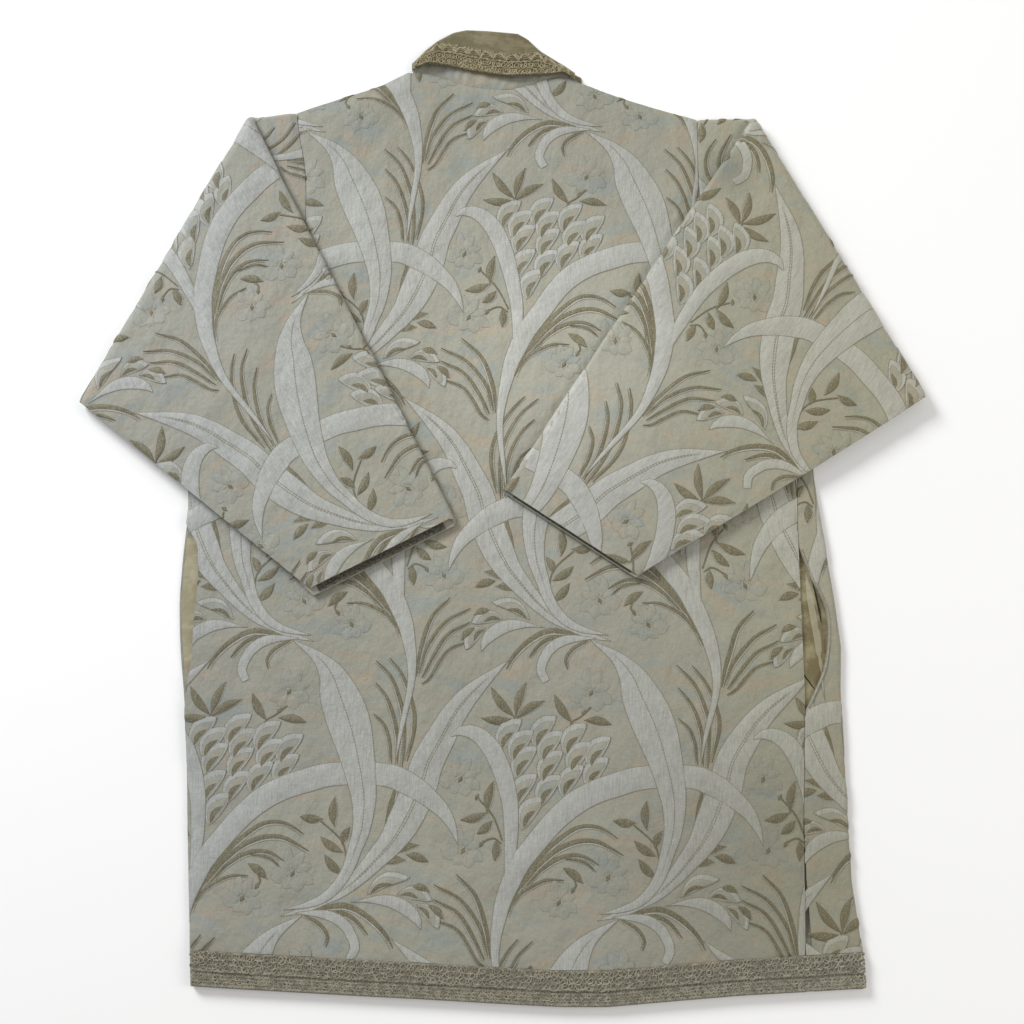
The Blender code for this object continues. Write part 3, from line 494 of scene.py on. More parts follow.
# Short folds that only the scene has: x, y, angle in degrees, length, width, height
SMALL_FOLDS = (
    (-224, -95, 100, 150, 20, 1.0), (-262, -330, 95, 200, 16, 0.9), (180, -255, 80, 150, 22, 0.9),
    (60, -60, 70, 120, 26, 0.8), (-20, -290, 96, 170, 24, 0.9), (-150, -400, 82, 90, 18, 0.8),
    (130, -410, 98, 90, 20, 0.8), (250, -420, 84, 80, 14, 0.8), (-120, -20, 50, 90, 22, 0.6),
    (30, 180, 80, 130, 26, 0.8), (-60, 330, 115, 90, 16, 0.7), (55, 345, 62, 90, 16, 0.7),
)
SMALL_SLEEVE_FOLDS = (
    (-286, 260, 60, 130, 16, 0.9), (-330, 160, 66, 150, 18, 0.9), (-215, 40, 40, 90, 14, 1.0),
    (-235, -55, 20, 40, 7, 1.0), (-262, 90, 52, 120, 20, 0.7), (-150, 60, 75, 80, 14, 0.6),
    (292, 250, 118, 130, 16, 0.9), (335, 170, 112, 140, 18, 0.9), (200, 120, 140, 110, 18, 0.8),
    (240, 40, 150, 60, 10, 0.9), (150, 10, 130, 70, 14, 0.7), (290, 90, 128, 90, 16, 0.7),
)

# One repeat of the woven pattern. Blades: order where blades cross, number of midribs, and the middle
# line as x, y, half width
BLADES = (
    (2, 0, ((6, -84, 0.3), (2, -50, 2.4), (-4, -11, 3.4), (-4, 12, 4.8), (-1, 31, 6.3), (3, 48, 7.6),
            (10, 65, 8.8), (18, 81, 9.5), (34, 101, 9.8), (51, 120, 10.3), (69, 135, 11.0), (88, 145, 10.9),
            (109, 152, 11.2), (127, 157, 10.9), (152, 159, 10.7), (178, 158, 10.7), (190, 154, 11.0),
            (203, 147, 10.3), (216, 137, 8.5), (228, 125, 6.4), (236, 110, 3.4), (240, 96, 0.2))),
    (2, 0, ((4, 62, 0.4), (9, 90, 5.4), (10, 113, 6.8), (9, 134, 7.6), (5, 153, 8.5), (0, 168, 8.7),
            (-8, 184, 8.8), (-18, 195, 7.8), (-29, 200, 6.1), (-37, 200, 4.4), (-45, 195, 0.8))),
    (3, 1, ((84, 284, 0.5), (108, 268, 6.1), (122, 251, 12.6), (129, 235, 17.6), (138, 215, 20.0),
            (145, 197, 19.2), (151, 177, 16.6), (156, 156, 14.1), (159, 137, 11.7), (159, 121, 9.7),
            (157, 105, 8.0), (152, 89, 6.6), (147, 73, 5.6), (139, 59, 5.1), (127, 47, 4.4), (111, 40, 3.0),
            (91, 36, 0.5))),
    (1, 2, ((8, 266, 0.2), (-25, 237, 8.5), (-42, 216, 11.5), (-54, 193, 13.6), (-65, 170, 14.9),
            (-70, 151, 15.6), (-77, 132, 15.9), (-85, 114, 14.9), (-94, 98, 12.2), (-106, 83, 9.8),
            (-120, 67, 7.6), (-136, 53, 5.9), (-153, 44, 4.8), (-169, 36, 3.4), (-190, 30, 0.3))),
    (2, 0, ((-128, 43, 0.2), (-116, 45, 1.7), (-105, 46, 4.1), (-94, 45, 5.8),
            (-84, 41, 6.4), (-76, 35, 5.8), (-71, 28, 3.6), (-69, 21, 0.3))),
    (2, 0, ((-176, 33, 0.6), (-163, 33, 2.5), (-150, 32, 4.2), (-139, 28, 5.0), (-130, 20, 5.0),
            (-126, 12, 4.8), (-124, 3, 4.6), (-129, -7, 4.0))),
)
RIB_PLACES = ((0.04,), (-0.02, 0.12))  # across a blade, as shares of its half width
OLIVE_ARCS = (
    (4.2, ((-9, -3), (-12, 21), (-22, 52), (-39, 71))), (3.8, ((-11, 0), (-18, 24), (-35, 48), (-58, 61))),
    (3.8, ((-14, -4), (-22, 12), (-37, 36), (-58, 48))), (3.4, ((-14, -10), (-22, -3), (-37, 21), (-56, 30))),
    (4.0, ((191, 166), (192, 185), (190, 212), (185, 231), (176, 251), (162, 265))),
    (4.0, ((195, 171), (198, 185), (200, 202), (199, 218), (193, 238), (185, 255), (175, 267))),
    (3.8, ((187, 168), (186, 192), (181, 213), (173, 232), (163, 244))),
    (3.4, ((182, 169), (179, 189), (173, 205), (163, 215))),
    (4.8, ((6, 34), (15, 56), (27, 75), (43, 93), (59, 106), (72, 113), (86, 114), (97, 110), (107, 103))),
    (5.0, ((17, 57), (33, 77), (49, 91), (63, 98), (76, 101), (89, 100), (100, 95), (112, 88))),
    (4.4, ((24, 61), (36, 74), (51, 84), (66, 88), (79, 86), (90, 79))),
    (2.8, ((58, 85), (69, 84), (80, 80), (87, 73))), (3.6, ((7, 39), (18, 53), (30, 61), (43, 66), (58, 66))),
    (5.4, ((-166, 35), (-158, 36), (-134, 40), (-115, 32), (-99, 17), (-92, 4))),
    (4.4, ((-160, 35), (-134, 33), (-121, 25), (-113, 15))),
    (4.0, ((-170, 32), (-166, 30), (-153, 22), (-147, 12), (-149, 4))),
    (4.8, ((186, 150), (184, 138), (182, 129), (179, 111), (176, 95))),
)
STEMS = (
    ((2, 101), (-4, 118), (-10, 128), (-19, 138)), ((1, 98), (-5, 103), (-11, 102), (-16, 99)),
    ((146, 73), (143, 93), (136, 103), (122, 115)), ((67, 67), (69, 61), (66, 57)),
    ((13, 205), (13, 214)), ((64, 199), (66, 208), (74, 213), (84, 222)),
)
OLIVE_LEAVES = (
    ((13, 213), (-9, 241)), ((14, 213), (24, 245)), ((15, 212), (41, 228)), ((12, 211), (-18, 212)),
    ((66, 208), (50, 234)), ((77, 210), (103, 206)), ((-12, 126), (-6, 155)), ((-12, 126), (-36, 119)),
    ((-7, 119), (-21, 107)), ((-4, 101), (-5, 83)), ((134, 110), (134, 137)), ((124, 117), (103, 119)),
    ((141, 94), (148, 110)), ((142, 87), (122, 101)), ((142, 67), (126, 85)), ((57, 77), (75, 63)),
    ((-98, 87), (-71, 96)), ((-82, 87), (-63, 81)), ((-104, 79), (-82, 82)),
    ((-77, 59), (-62, 55)), ((-63, 43), (-50, 31)),
)
BUDS = ((-21, 140), (-17, 98), (66, 57), (77, 217), (84, 235), (-36, 156), (-33, 92), (98, 68), (53, 46))
FLOWERS = ((84, 235, 23), (-36, 156, 21), (-33, 92, 21), (98, 68, 22), (53, 46, 20))
SCALES = (  # their tips
    (20, 211), (52, 214), (80, 207), (102, 195), (31, 201), (58, 200), (84, 190), (100, 176), (34, 186),
    (58, 182), (77, 169), (34, 161), (56, 160), (40, 140),
)
SIDE_SCALES = (  # their roots and tips
    ((-114, 50), (-78, 67)), ((-89, 51), (-59, 47)), ((-73, 43), (-54, 22)),
)
SCALE_SIZE = (17.5, 36.0)
SIDE_SCALE_WIDTH = 13.0
SCALE_AXIS = math.radians(56)
SCALE_BOW = 0.15
SCALE_LAYERS = (  # kind, where it starts and ends along the scale, share of the width, rise, base
    ("pale", 0.0, 1.0, 1.0, 0.25, 0.0), ("ground", 0.03, 0.85, 0.64, 0.10, 0.22),
    ("olive", 0.08, 0.60, 0.29, 0.2, 0.33),
)
LEAF_WIDTH = 7.8
LEAF_BOW = 0.06
BUD_SIZE = (4.0, 6.0)
PETAL_ROOT = 0.16  # where a petal starts, as a share of the flower's radius
PETAL_BOW = 0.1
PETALS = (  # angle, reach and width as shares of the flower's radius
    (98, 1.10, 0.42), (62, 1.00, 0.46), (20, 0.85, 0.40), (-28, 0.95, 0.52), (-72, 0.80, 0.60),
    (-125, 0.72, 0.50), (178, 0.95, 0.72), (135, 0.80, 0.40),
)
KINDS = ("pale", "olive", "ghost", "ground")


def spaced(low, high, cell, fine=None):
    """Places about a cell apart from low to high, closer together across the fine stretch."""
    stops = [(low, high, cell)] if fine is None else [(low, fine[0], cell), fine, (fine[1], high, cell)]
    made = [low]
    for start, end, step in stops:
        if end > start:
            made += list(np.linspace(start, end, max(1, round((end - start) / step)) + 1)[1:])
    return np.array(made)


def sheet_grid(xs, ys):
    """A flat grid whose lines lie at the given places."""
    mesh = bmesh.new()
    bmesh.ops.create_grid(mesh, x_segments=len(xs) - 1, y_segments=len(ys) - 1, size=0.5)
    for vertex in mesh.verts:
        i = round((vertex.co.x + 0.5) * (len(xs) - 1))
        j = round((vertex.co.y + 0.5) * (len(ys) - 1))
        vertex.co = (xs[i], ys[j], 0)
    return mesh


def flat_points(vertices):
    return np.array([vertex.co[:2] for vertex in vertices]).reshape(-1, 2)


def nearest_on(points, outline):
    best = np.full(len(points), np.inf)
    spots = points.copy()
    for start, end in zip(outline, np.roll(outline, -1, axis=0)):
        way = end - start
        t = np.clip((points - start) @ way / max(way @ way, 1e-9), 0, 1)
        spot = start + t[:, None] * way
        off = np.linalg.norm(points - spot, axis=1)
        closer = off < best
        best[closer] = off[closer]
        spots[closer] = spot[closer]
    return spots


def drop_faces(mesh, wanted):
    """Takes away the faces that have none of the wanted points, and leaves the rest tagged."""
    for vertex, kept in zip(mesh.verts, wanted):
        vertex.tag = bool(kept)
    bare = [face for face in mesh.faces if not any(vertex.tag for vertex in face.verts)]
    bmesh.ops.delete(mesh, geom=bare, context="FACES")


def trim(mesh, outline):
    """Takes away the faces outside an outline and draws the last points in to its line."""
    drop_faces(mesh, inside(flat_points(mesh.verts), outline))
    outer = [vertex for vertex in mesh.verts if not vertex.tag]
    if outer:
        for vertex, spot in zip(outer, nearest_on(flat_points(outer), outline)):
            vertex.co.x, vertex.co.y = spot


def thicken(mesh, thickness):
    """Closes a flat mesh into a wall, with its second face at the given depth."""
    made = bmesh.ops.extrude_face_region(mesh, geom=mesh.faces[:], use_keep_orig=True)["geom"]
    for item in made:
        if isinstance(item, bmesh.types.BMVert):
            item.co.z = -thickness


def refine(mesh, wanted, cuts):
    """Cuts the edges whose two ends are wanted into shorter ones."""
    chosen = wanted(flat_points(mesh.verts))
    for vertex, fine in zip(mesh.verts, chosen):
        vertex.tag = bool(fine)
    edges = [edge for edge in mesh.edges if edge.verts[0].tag and edge.verts[1].tag]
    bmesh.ops.subdivide_edges(mesh, edges=edges, cuts=cuts, use_grid_fill=True)


def lay(name, mesh, place, pattern, finishes, stands=None, node=None):
    """Takes a mesh from its flat sheet to its place on the coat, as an object that rides on the coat."""
    sheet = np.array([vertex.co[:] for vertex in mesh.verts])
    height = sheet[:, 2] if stands is None else sheet[:, 2] + stands(sheet)
    placed = (place(sheet[:, :2], -height) + (*CENTRE, 0)) * MM
    above = (place(sheet[:, :2], -height - 0.5) + (*CENTRE, 0)) * MM - placed
    for vertex, point in zip(mesh.verts, placed):
        vertex.co = point
    mesh.normal_update()
    mesh.verts.index_update()
    if any(edge.is_boundary for edge in mesh.edges):
        turned = [face for face in mesh.faces
                  if face.normal.dot(above[[v.index for v in face.verts]].sum(0)) < 0]
        bmesh.ops.reverse_faces(mesh, faces=turned)
    else:
        bmesh.ops.recalc_face_normals(mesh, faces=mesh.faces)
    data = bpy.data.meshes.new(name)
    mesh.to_mesh(data)
    mesh.free()
    weave = pattern(sheet[:, :2]) * MM
    corners = np.zeros(len(data.loops), dtype=np.int32)
    data.loops.foreach_get("vertex_index", corners)
    cloth = data.uv_layers.new(name="cloth")
    cloth.data.foreach_set("uv", weave[corners].astype(np.float32).ravel())
    data.polygons.foreach_set("use_smooth", [True] * len(data.polygons))
    data.set_sharp_from_angle(angle=math.radians(55))
    for finish in finishes:
        data.materials.append(bpy.data.materials[finish])
    piece = bpy.data.objects.new(name, data)
    bpy.context.scene.collection.objects.link(piece)
    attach(piece, "root")
    if node:
        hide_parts(node)
    return piece


def edge_distance(points, blades):
    """How far each point lies outside the nearest blade: negative inside it."""
    best = np.full(len(points), FAR)
    for line, half in blades:
        reach = half.max() + 3 * GROUND_REACH
        near = np.flatnonzero(((points > line.min(0) - reach) & (points < line.max(0) + reach)).all(1))
        if not len(near):
            continue
        part = points[near]
        closest = best[near]
        for k in range(len(line) - 1):
            way = line[k + 1] - line[k]
            t = np.clip((part - line[k]) @ way / max(way @ way, 1e-9), 0, 1)
            off = np.linalg.norm(part - line[k] - t[:, None] * way, axis=1)
            closest = np.minimum(closest, off - half[k] - (half[k + 1] - half[k]) * t)
        best[near] = closest
    return best


def ground_rise(points, blades):
    """The padding of the cloth between blades, which sinks towards their stitched edges."""
    return GROUND_RISE * (1 - np.exp(-(np.maximum(edge_distance(points, blades), 0) / GROUND_REACH) ** 2))


def seam_dip(points, seams):
    away = np.full(len(points), FAR)
    for line in seams:
        away = np.minimum(away, distance_to(points, line, closed=False))
    return SEAM_DIP * np.exp(-(away / SEAM_REACH) ** 2)


def lens(length_points, width, slender=0.9):
    """A leaf pointed at both ends, along the given points."""
    line = curve_through(length_points, ROUTE_STEPS["leaf"])
    t = np.linspace(0, 1, len(line))
    return line, width / 2 * (4 * t * (1 - t)) ** slender + 0.02


def bowed(root, tip, width, bow, slender=0.9):
    root, tip = np.array(root, float), np.array(tip, float)
    way = tip - root
    middle = (root + tip) / 2 + bow * np.array((-way[1], way[0]))
    return lens((root, middle, tip), width, slender)


def motif_shapes():
    """Every strip of one repeat: kind, order, rise, rib, tilt, base, middle line and half widths."""
    shapes = []
    for order, ribs, route in BLADES:
        line, half = np.split(curve_through(route, ROUTE_STEPS["blade"]), [2], axis=1)
        half = half[:, 0]
        rise = BLADE_RISE * min(1.0, half.max() / FULL_BLADE)
        shapes.append(("pale", order, rise, float(ribs), 0.0, 0.0, line, half))
    for width, route in OLIVE_ARCS:
        line = curve_through(route, ROUTE_STEPS["arc"])
        t = np.linspace(0, 1, len(line))
        half = width / 2 * np.minimum(0.2 + 2.4 * t, 1) * (1 - 0.85 * t ** 4) + 0.05
        beside = moved_aside(line, -0.5 * width * math.copysign(1, route[-1][0] - route[0][0]))
        shapes.append(("pale", 0, RISES["pale rim"], 0.0, 0.0, RIM_BASE, beside, half * 0.6))
        shapes.append(("olive", 0, RISES["arc"], 0.0, 0.0, 0.0, line, half))
    for route in STEMS:
        line = curve_through(route, ROUTE_STEPS["leaf"])
        shapes.append(("olive", 0, RISES["stem"], 0.0, 0.0, 0.0, line, np.full(len(line), STEM_HALF)))
    for root, tip in OLIVE_LEAVES:
        line, half = bowed(root, tip, LEAF_WIDTH, LEAF_BOW, 1.2)
        shapes.append(("pale", 0, RISES["pale rim"], 0.0, 0.0, RIM_BASE, line + (1.0, -0.5), half))
        shapes.append(("olive", 0, RISES["leaf"], 0.0, 0.0, 0.0, line, half))
    for x, y, radius in FLOWERS:
        for angle, reach, width in PETALS:
            way = np.array((math.cos(math.radians(angle)), math.sin(math.radians(angle))))
            root, tip = [(x, y) + share * radius * way for share in (PETAL_ROOT, reach)]
            line, half = bowed(root, tip, width * radius, PETAL_BOW)
            shapes.append(("ghost", 0, RISES["petal"], 0.0, 0.0, RIM_BASE, line, half))
    axis = np.array((math.cos(SCALE_AXIS), math.sin(SCALE_AXIS)))
    scales = [(np.array(tip) - SCALE_SIZE[1] * axis, np.array(tip), SCALE_SIZE[0]) for tip in SCALES]
    scales += [(np.array(root), np.array(tip), SIDE_SCALE_WIDTH) for root, tip in SIDE_SCALES]
    for root, tip, size in scales:
        for kind, start, end, width, rise, base in SCALE_LAYERS:
            ends = [root + share * (tip - root) for share in (start, end)]
            line, half = bowed(*ends, width * size, SCALE_BOW)
            shapes.append((kind, 0, rise, 0.0, LIFT_TILT * end, base, line, half))
    for x, y in BUDS:
        line, half = lens(((x - 1.5, y - 3), (x + 1.5, y + BUD_SIZE[1] - 3)), BUD_SIZE[0])
        shapes.append(("olive", 0, RISES["bud"], 0.0, 0.0, 0.1, line, half))
    return shapes


def shapes_over(outline, to_pattern, to_sheet, wanted):
    """The strips of every repeat that reach the outline, on the sheet, where they are wanted."""
    corners = to_pattern(outline)
    low, high = corners.min(0), corners.max(0)
    first = [math.floor(low[k] / REPEAT[k]) - 1 for k in (0, 1)]
    last = [math.ceil(high[k] / REPEAT[k]) + 1 for k in (0, 1)]
    found = []
    for kind, order, rise, rib, tilt, base, line, half in motif_shapes():
        for version in (line, line * (-1, 1) + (MIRROR_SUM, MIRROR_RISE)):
            for i in range(first[0], last[0] + 1):
                for j in range(first[1], last[1] + 1):
                    moved = version + (i * REPEAT[0], j * REPEAT[1])
                    if (moved.max(0) < low - 10).any() or (moved.min(0) > high + 10).any():
                        continue
                    found.append((kind, order, rise, rib, tilt, base, to_sheet(moved), half))
    seen = wanted(np.vstack([shape[6] for shape in found]))
    ends = np.cumsum([len(shape[6]) for shape in found])[:-1]
    return [shape for shape, shown in zip(found, np.split(seen, ends)) if shown.any()]


def strip_into(mesh, kind, order, rise, rib, tilt, base, line, half):
    """Adds one strip to a mesh: a pillowed top with a skirt round it that reaches into the cloth."""
    across = next(rows for reach, rows in STRIP_ROWS if half.max() < reach)
    along = len(line) - 1
    made = bmesh.ops.create_grid(mesh, x_segments=along + 2, y_segments=across + 2, size=0.5)["verts"]
    spots = (flat_points(made) + 0.5) * (along + 2, across + 2)
    step, row = np.rint(spots).astype(int).T
    k = np.clip(step - 1, 0, along)
    share = np.clip((row - 1) * 2 / across - 1, -1, 1)
    way = np.gradient(line, axis=0)
    way /= np.maximum(np.linalg.norm(way, axis=1), 1e-6)[:, None]
    normal = np.stack([-way[:, 1], way[:, 0]], 1)
    flat = line[k] + normal[k] * (share * half[k])[:, None]
    full = np.sqrt(half[k] / half.max())
    top = RIM + base + tilt * k / along + rise * full * (1 - share ** 2) ** 0.8
    skirt = (step == 0) | (step == along + 2) | (row == 0) | (row == across + 2)
    length = np.concatenate([[0], np.cumsum(np.linalg.norm(np.diff(line, axis=0), axis=1))])
    strip = mesh.verts.layers.float_vector["strip"]
    ribs = mesh.verts.layers.float["rib"]
    level = mesh.verts.layers.float["level"]
    for index, vertex in enumerate(made):
        vertex.co = (*flat[index], -SUNK if skirt[index] else top[index])
        vertex[strip] = (share[index] * half[k[index]], half[k[index]], length[k[index]])
        vertex[ribs] = rib
        vertex[level] = order
    for vertex in made:
        for face in vertex.link_faces:
            face.material_index = KINDS.index(kind)


def new_strips():
    mesh = bmesh.new()
    mesh.verts.layers.float_vector.new("strip")
    mesh.verts.layers.float.new("rib")
    mesh.verts.layers.float.new("level")
    return mesh


def woven_leaves(outline, to_pattern, to_sheet, wanted):
    """The woven leaves of one panel, in one piece, with the relief of the cloth under them."""
    shapes = shapes_over(outline, to_pattern, to_sheet, wanted)
    mesh = new_strips()
    for shape in shapes:
        strip_into(mesh, *shape)
    trim(mesh, outline)
    blades = [(shape[1], shape[6], shape[7]) for shape in shapes if shape[1] > 0]
    points = flat_points(mesh.verts)
    level = mesh.verts.layers.float["level"]
    levels = np.array([vertex[level] for vertex in mesh.verts])
    under = np.full(len(points), FAR)
    for order in range(4):
        upper = [(line, half) for rank, line, half in blades if rank > order]
        these = np.flatnonzero(levels == order)
        if upper and len(these):
            under[these] = edge_distance(points[these], upper)
    release = ease(-OVERLAP, EDGE_RELEASE, under)
    ground = ground_rise(points, [(line, half) for _, line, half in blades])
    for vertex, share, rise in zip(mesh.verts, release, ground):
        if vertex.co.z > 0:
            vertex.co.z = UNDER_RIM + (vertex.co.z - UNDER_RIM) * share
        vertex.co.z += rise
    drop_faces(mesh, under > -OVERLAP)
    return mesh, [(line, half) for _, line, half in blades]


def identity(points):
    return points


def back_outline(low_line):
    """The back's flat outline above the given lowest line."""
    heights = seam_heights()
    low = np.array([(x, low_line(x)) for x in np.linspace(*BACK_HEM, 60)])
    right = [(side_at(y, 3) - SEAM, y) for y in heights]
    left_edge = [(side_at(y, 1) + SEAM, y) for y in heights[::-1]
                 if not LEFT_POCKET_GAP[0] < y < LEFT_POCKET_GAP[1]]
    pocket = [(x, y) for y, x in LEFT_POCKET_EDGE[::-1]]
    left = sorted(left_edge + pocket, key=lambda p: -p[1])
    right_arm = moved_aside(curve_through(ARMHOLE["right"], ARM_STEP)[::-1], SEAM)
    left_arm = moved_aside(curve_through(ARMHOLE["left"], ARM_STEP), SEAM)
    right = [p for p in right if p[1] > low_line(BACK_HEM[1])]
    left = [p for p in left if p[1] > low_line(BACK_HEM[0])]
    right_shoulder = curve_through(SHOULDER["right"], SHOULDER_STEP)
    left_shoulder = curve_through(SHOULDER["left"], SHOULDER_STEP)[::-1]
    neck = curve_through(BACK_NECK, NECK_STEP)[::-1]
    return closed_line(low, right, right_arm, right_shoulder, neck, left_shoulder, left_arm, left)


def braid_top(x):
    return hem_at(x) + SHOWN_BRAID


def back_seams():
    heights = seam_heights()
    return [np.array([(side_at(y, 3), y) for y in heights]), np.array([(side_at(y, 1), y) for y in heights]),
            curve_through(ARMHOLE["right"], ARM_STEP), curve_through(ARMHOLE["left"], ARM_STEP),
            curve_through(SHOULDER["right"], SHOULDER_STEP), curve_through(SHOULDER["left"], SHOULDER_STEP),
            curve_through(BACK_NECK, NECK_STEP)]


def panel_stands(blades, seams, clear=None):
    """The relief of a panel's outer face, for points of its sheet."""
    def stands(sheet):
        outer = np.flatnonzero(sheet[:, 2] == 0)
        flat = sheet[outer, :2]
        rise = ground_rise(flat, blades) - seam_dip(flat, seams)
        if clear is not None:
            rise *= clear(flat)
        total = np.zeros(len(sheet))
        total[outer] = rise
        return total
    return stands


def leaf_stands(seams, clear=None):
    def stands(sheet):
        rise = -seam_dip(sheet[:, :2], seams)
        return rise if clear is None else rise * clear(sheet[:, :2])
    return stands


def drawn(points):
    """How far the back's cloth is drawn out of the pattern's line."""
    total = np.zeros(points.shape)
    for middle, reach, shift in DRAWN:
        share = np.exp(-(((points - middle) / reach) ** 4).sum(axis=1))
        total += share[:, None] * shift
    return total


def build_back(cell):
    outline = back_outline(hem_at)
    shown = back_outline(lambda x: braid_top(x) + CLEAR_OF_BRAID)

    def to_pattern(points):
        return points - PATTERN_START - drawn(points)

    def to_sheet(points):
        moved = points + PATTERN_START
        return moved + drawn(moved + drawn(moved))

    def wanted(points):
        return (under_sleeve(points) < HIDDEN_DEPTH) & inside(points, shown)

    mesh, blades = woven_leaves(shown, to_pattern, to_sheet, wanted)
    seams = back_seams()
    low, high = outline.min(0), outline.max(0)
    cloth = sheet_grid(spaced(low[0], high[0], cell), spaced(low[1], high[1], cell))
    trim(cloth, outline)
    thicken(cloth, WALL)
    panel = lay("back", cloth, body_place, to_pattern, ["cloth_ground"],
                panel_stands(blades, seams, above_braid), "back_panel")
    leaves = lay("back_leaves", mesh, body_place, to_pattern, KIND_FINISHES, leaf_stands(seams))


def above_braid(points):
    """0 where the hem braid covers the cloth, and 1 above it."""
    return ease(*UNDER_BRAID, points[:, 1] - braid_top(points[:, 0]))


def turned_over(wall):
    """The stands rule of a piece that lies face down: its wall rises from the outer face."""
    def stands(sheet):
        return np.where(sheet[:, 2] == 0, 0.0, 2 * wall)
    return stands


def build_front_left(cell):
    heights = seam_heights()
    edge = MIDDLE_X - FRONT_GAP
    hem = [(x, hem_at(x)) for x in np.linspace(edge, BACK_HEM[0], 14)]
    left = [(side_at(y, 1) + SEAM, y) for y in heights]
    arm = moved_aside(curve_through(ARMHOLE["left"], HIDDEN_ARM_STEP)[::-1], -SEAM)
    neck = curve_through([(MIDDLE_X + x, FRONT_TOP + y) for x, y in FRONT_NECK], HIDDEN_NECK_STEP)
    centre = [(edge, y) for y in centre_heights()]
    shoulder = curve_through(SHOULDER["left"], HIDDEN_SHOULDER_STEP)
    outline = closed_line(hem, left, arm, shoulder, neck, centre)
    low, high = outline.min(0), outline.max(0)
    cloth = sheet_grid(spaced(low[0], high[0], cell), spaced(low[1], high[1], cell))
    trim(cloth, outline)
    thicken(cloth, WALL)
    panel = lay("front_left_cloth", cloth, lambda p, d: lower_place(p, -d), identity, ["cloth_ground"],
                turned_over(WALL), "front_left")


def right_front_outline(low_line, sheet_end):
    """The right front's sheet: the strip beside the back, the turn and the part that lies below."""
    heights = seam_heights()
    upper = [(x, low_line(x)) for x in np.linspace(*STRIP_HEM, 6)]
    under = under_right([(x, low_line(x)) for x in np.linspace(STRIP_HEM[1], sheet_end, 18)])
    seam = [(side_at(y, 3) + SEAM, y) for y in heights[::-1]]
    above = [p for p in seam if p[1] > MOUTH_GAP[1]]
    below = [p for p in seam if low_line(STRIP_HEM[0]) < p[1] < MOUTH_GAP[0]]
    mouth = curve_through(POCKET_MOUTH, NECK_STEP)
    arm = under_right(moved_aside(curve_through(ARMHOLE["right"], HIDDEN_ARM_STEP), -SEAM))
    if sheet_end > 200:
        top = under_right([(sheet_end, y) for y in np.linspace(low_line(sheet_end), 34, 12)])
        return closed_line(upper, under, top, arm[arm[:, 1] < UNDERARM][:2], above, mouth, below)
    centre = under_right([(sheet_end, y) for y in centre_heights()[::-1]])
    neck = curve_through([(MIDDLE_X - x, FRONT_TOP + y) for x, y in FRONT_NECK], HIDDEN_NECK_STEP)
    neck = under_right(neck[::-1])
    shoulder = under_right(curve_through(SHOULDER["right"], HIDDEN_SHOULDER_STEP)[::-1])
    return closed_line(upper, under, centre, neck, shoulder, arm, above, mouth, below)


def strip_seams():
    heights = seam_heights()
    low, high = POCKET_MOUTH[-1][1], POCKET_MOUTH[0][1]
    return [np.array([(side_at(y, 3), y) for y in heights if not low < y < high])]


def build_front_right(cell, hidden_cell):
    outline = right_front_outline(hem_at, MIDDLE_X + FRONT_GAP)
    shown = right_front_outline(lambda x: braid_top(x) + CLEAR_OF_BRAID, 296.0)

    def to_pattern(points):
        return points - STRIP_PATTERN

    def to_sheet(points):
        return points + STRIP_PATTERN

    def wanted(points):
        beside_mouth = (points[:, 1] > MOUTH_CLEAR[0]) & (points[:, 1] < MOUTH_CLEAR[1])
        return inside(points, shown) & ~beside_mouth

    mesh, blades = woven_leaves(shown, to_pattern, to_sheet, wanted)
    refine(mesh, lambda p: p[:, 0] > side_at(p[:, 1], 2) - TURN - 3, 2)
    points = flat_points(mesh.verts)
    drop_faces(mesh, points[:, 0] < side_at(points[:, 1], 2) - TURN + LAST_STRIP)
    seams = strip_seams()
    low, high = outline.min(0), outline.max(0)
    middle = side_at(-100.0, 2)
    columns = spaced(low[0], high[0] + 32, hidden_cell, (middle - 10, middle + 9, FINE))
    near = spaced(low[0], middle - 10, cell)
    columns = np.concatenate([near[:-1], columns[columns >= middle - 10]])
    cloth = sheet_grid(columns, spaced(low[1], high[1], cell * 1.3))
    for vertex in cloth.verts:
        bend = side_at(vertex.co.y, 2) - middle
        vertex.co.x += bend * float(ramp(low[0] - 20, middle - 12, vertex.co.x))
    trim(cloth, outline)
    thicken(cloth, WALL)
    panel = lay("front_right_cloth", cloth, body_place, to_pattern, ["cloth_ground"],
                panel_stands(blades, seams, above_braid), "front_right")
    leaves = lay("strip_leaves", mesh, body_place, to_pattern, KIND_FINISHES, leaf_stands(seams))
    mouth = moved_aside(curve_through(POCKET_MOUTH, 2.0), PIPING)
    piping = cords("pocket_piping", [(mouth, 0.0, PIPING, PIPING_RISE, 0.1)], identity, body_place,
                   "piping")


def sleeve_outline(sleeve, name):
    """The sleeve's whole sheet: back layer, top edge and front layer."""
    arm = sleeve.draft(moved_aside(curve_through(ARMHOLE[name], SHOULDER_STEP), SEAM * sleeve.hand))
    arm = arm[arm[:, 1] > TURN + 4]
    start = max(arm[0, 0], SEAM * 2)
    upper_arm = np.vstack([[(start, TURN + 2)], arm])
    lower_arm = sleeve.on_lower(upper_arm)[::-1]
    under = curve_through(sleeve.under, 20)
    under = np.vstack([under[1:-1], [(sleeve.length + sleeve.cuff_step, sleeve.under[-1][1])]])
    lower_under = sleeve.on_lower(curve_through(sleeve.under, 20))[::-1][:-1]
    return closed_line(upper_arm, under, cuff_line(sleeve), lower_under, lower_arm)


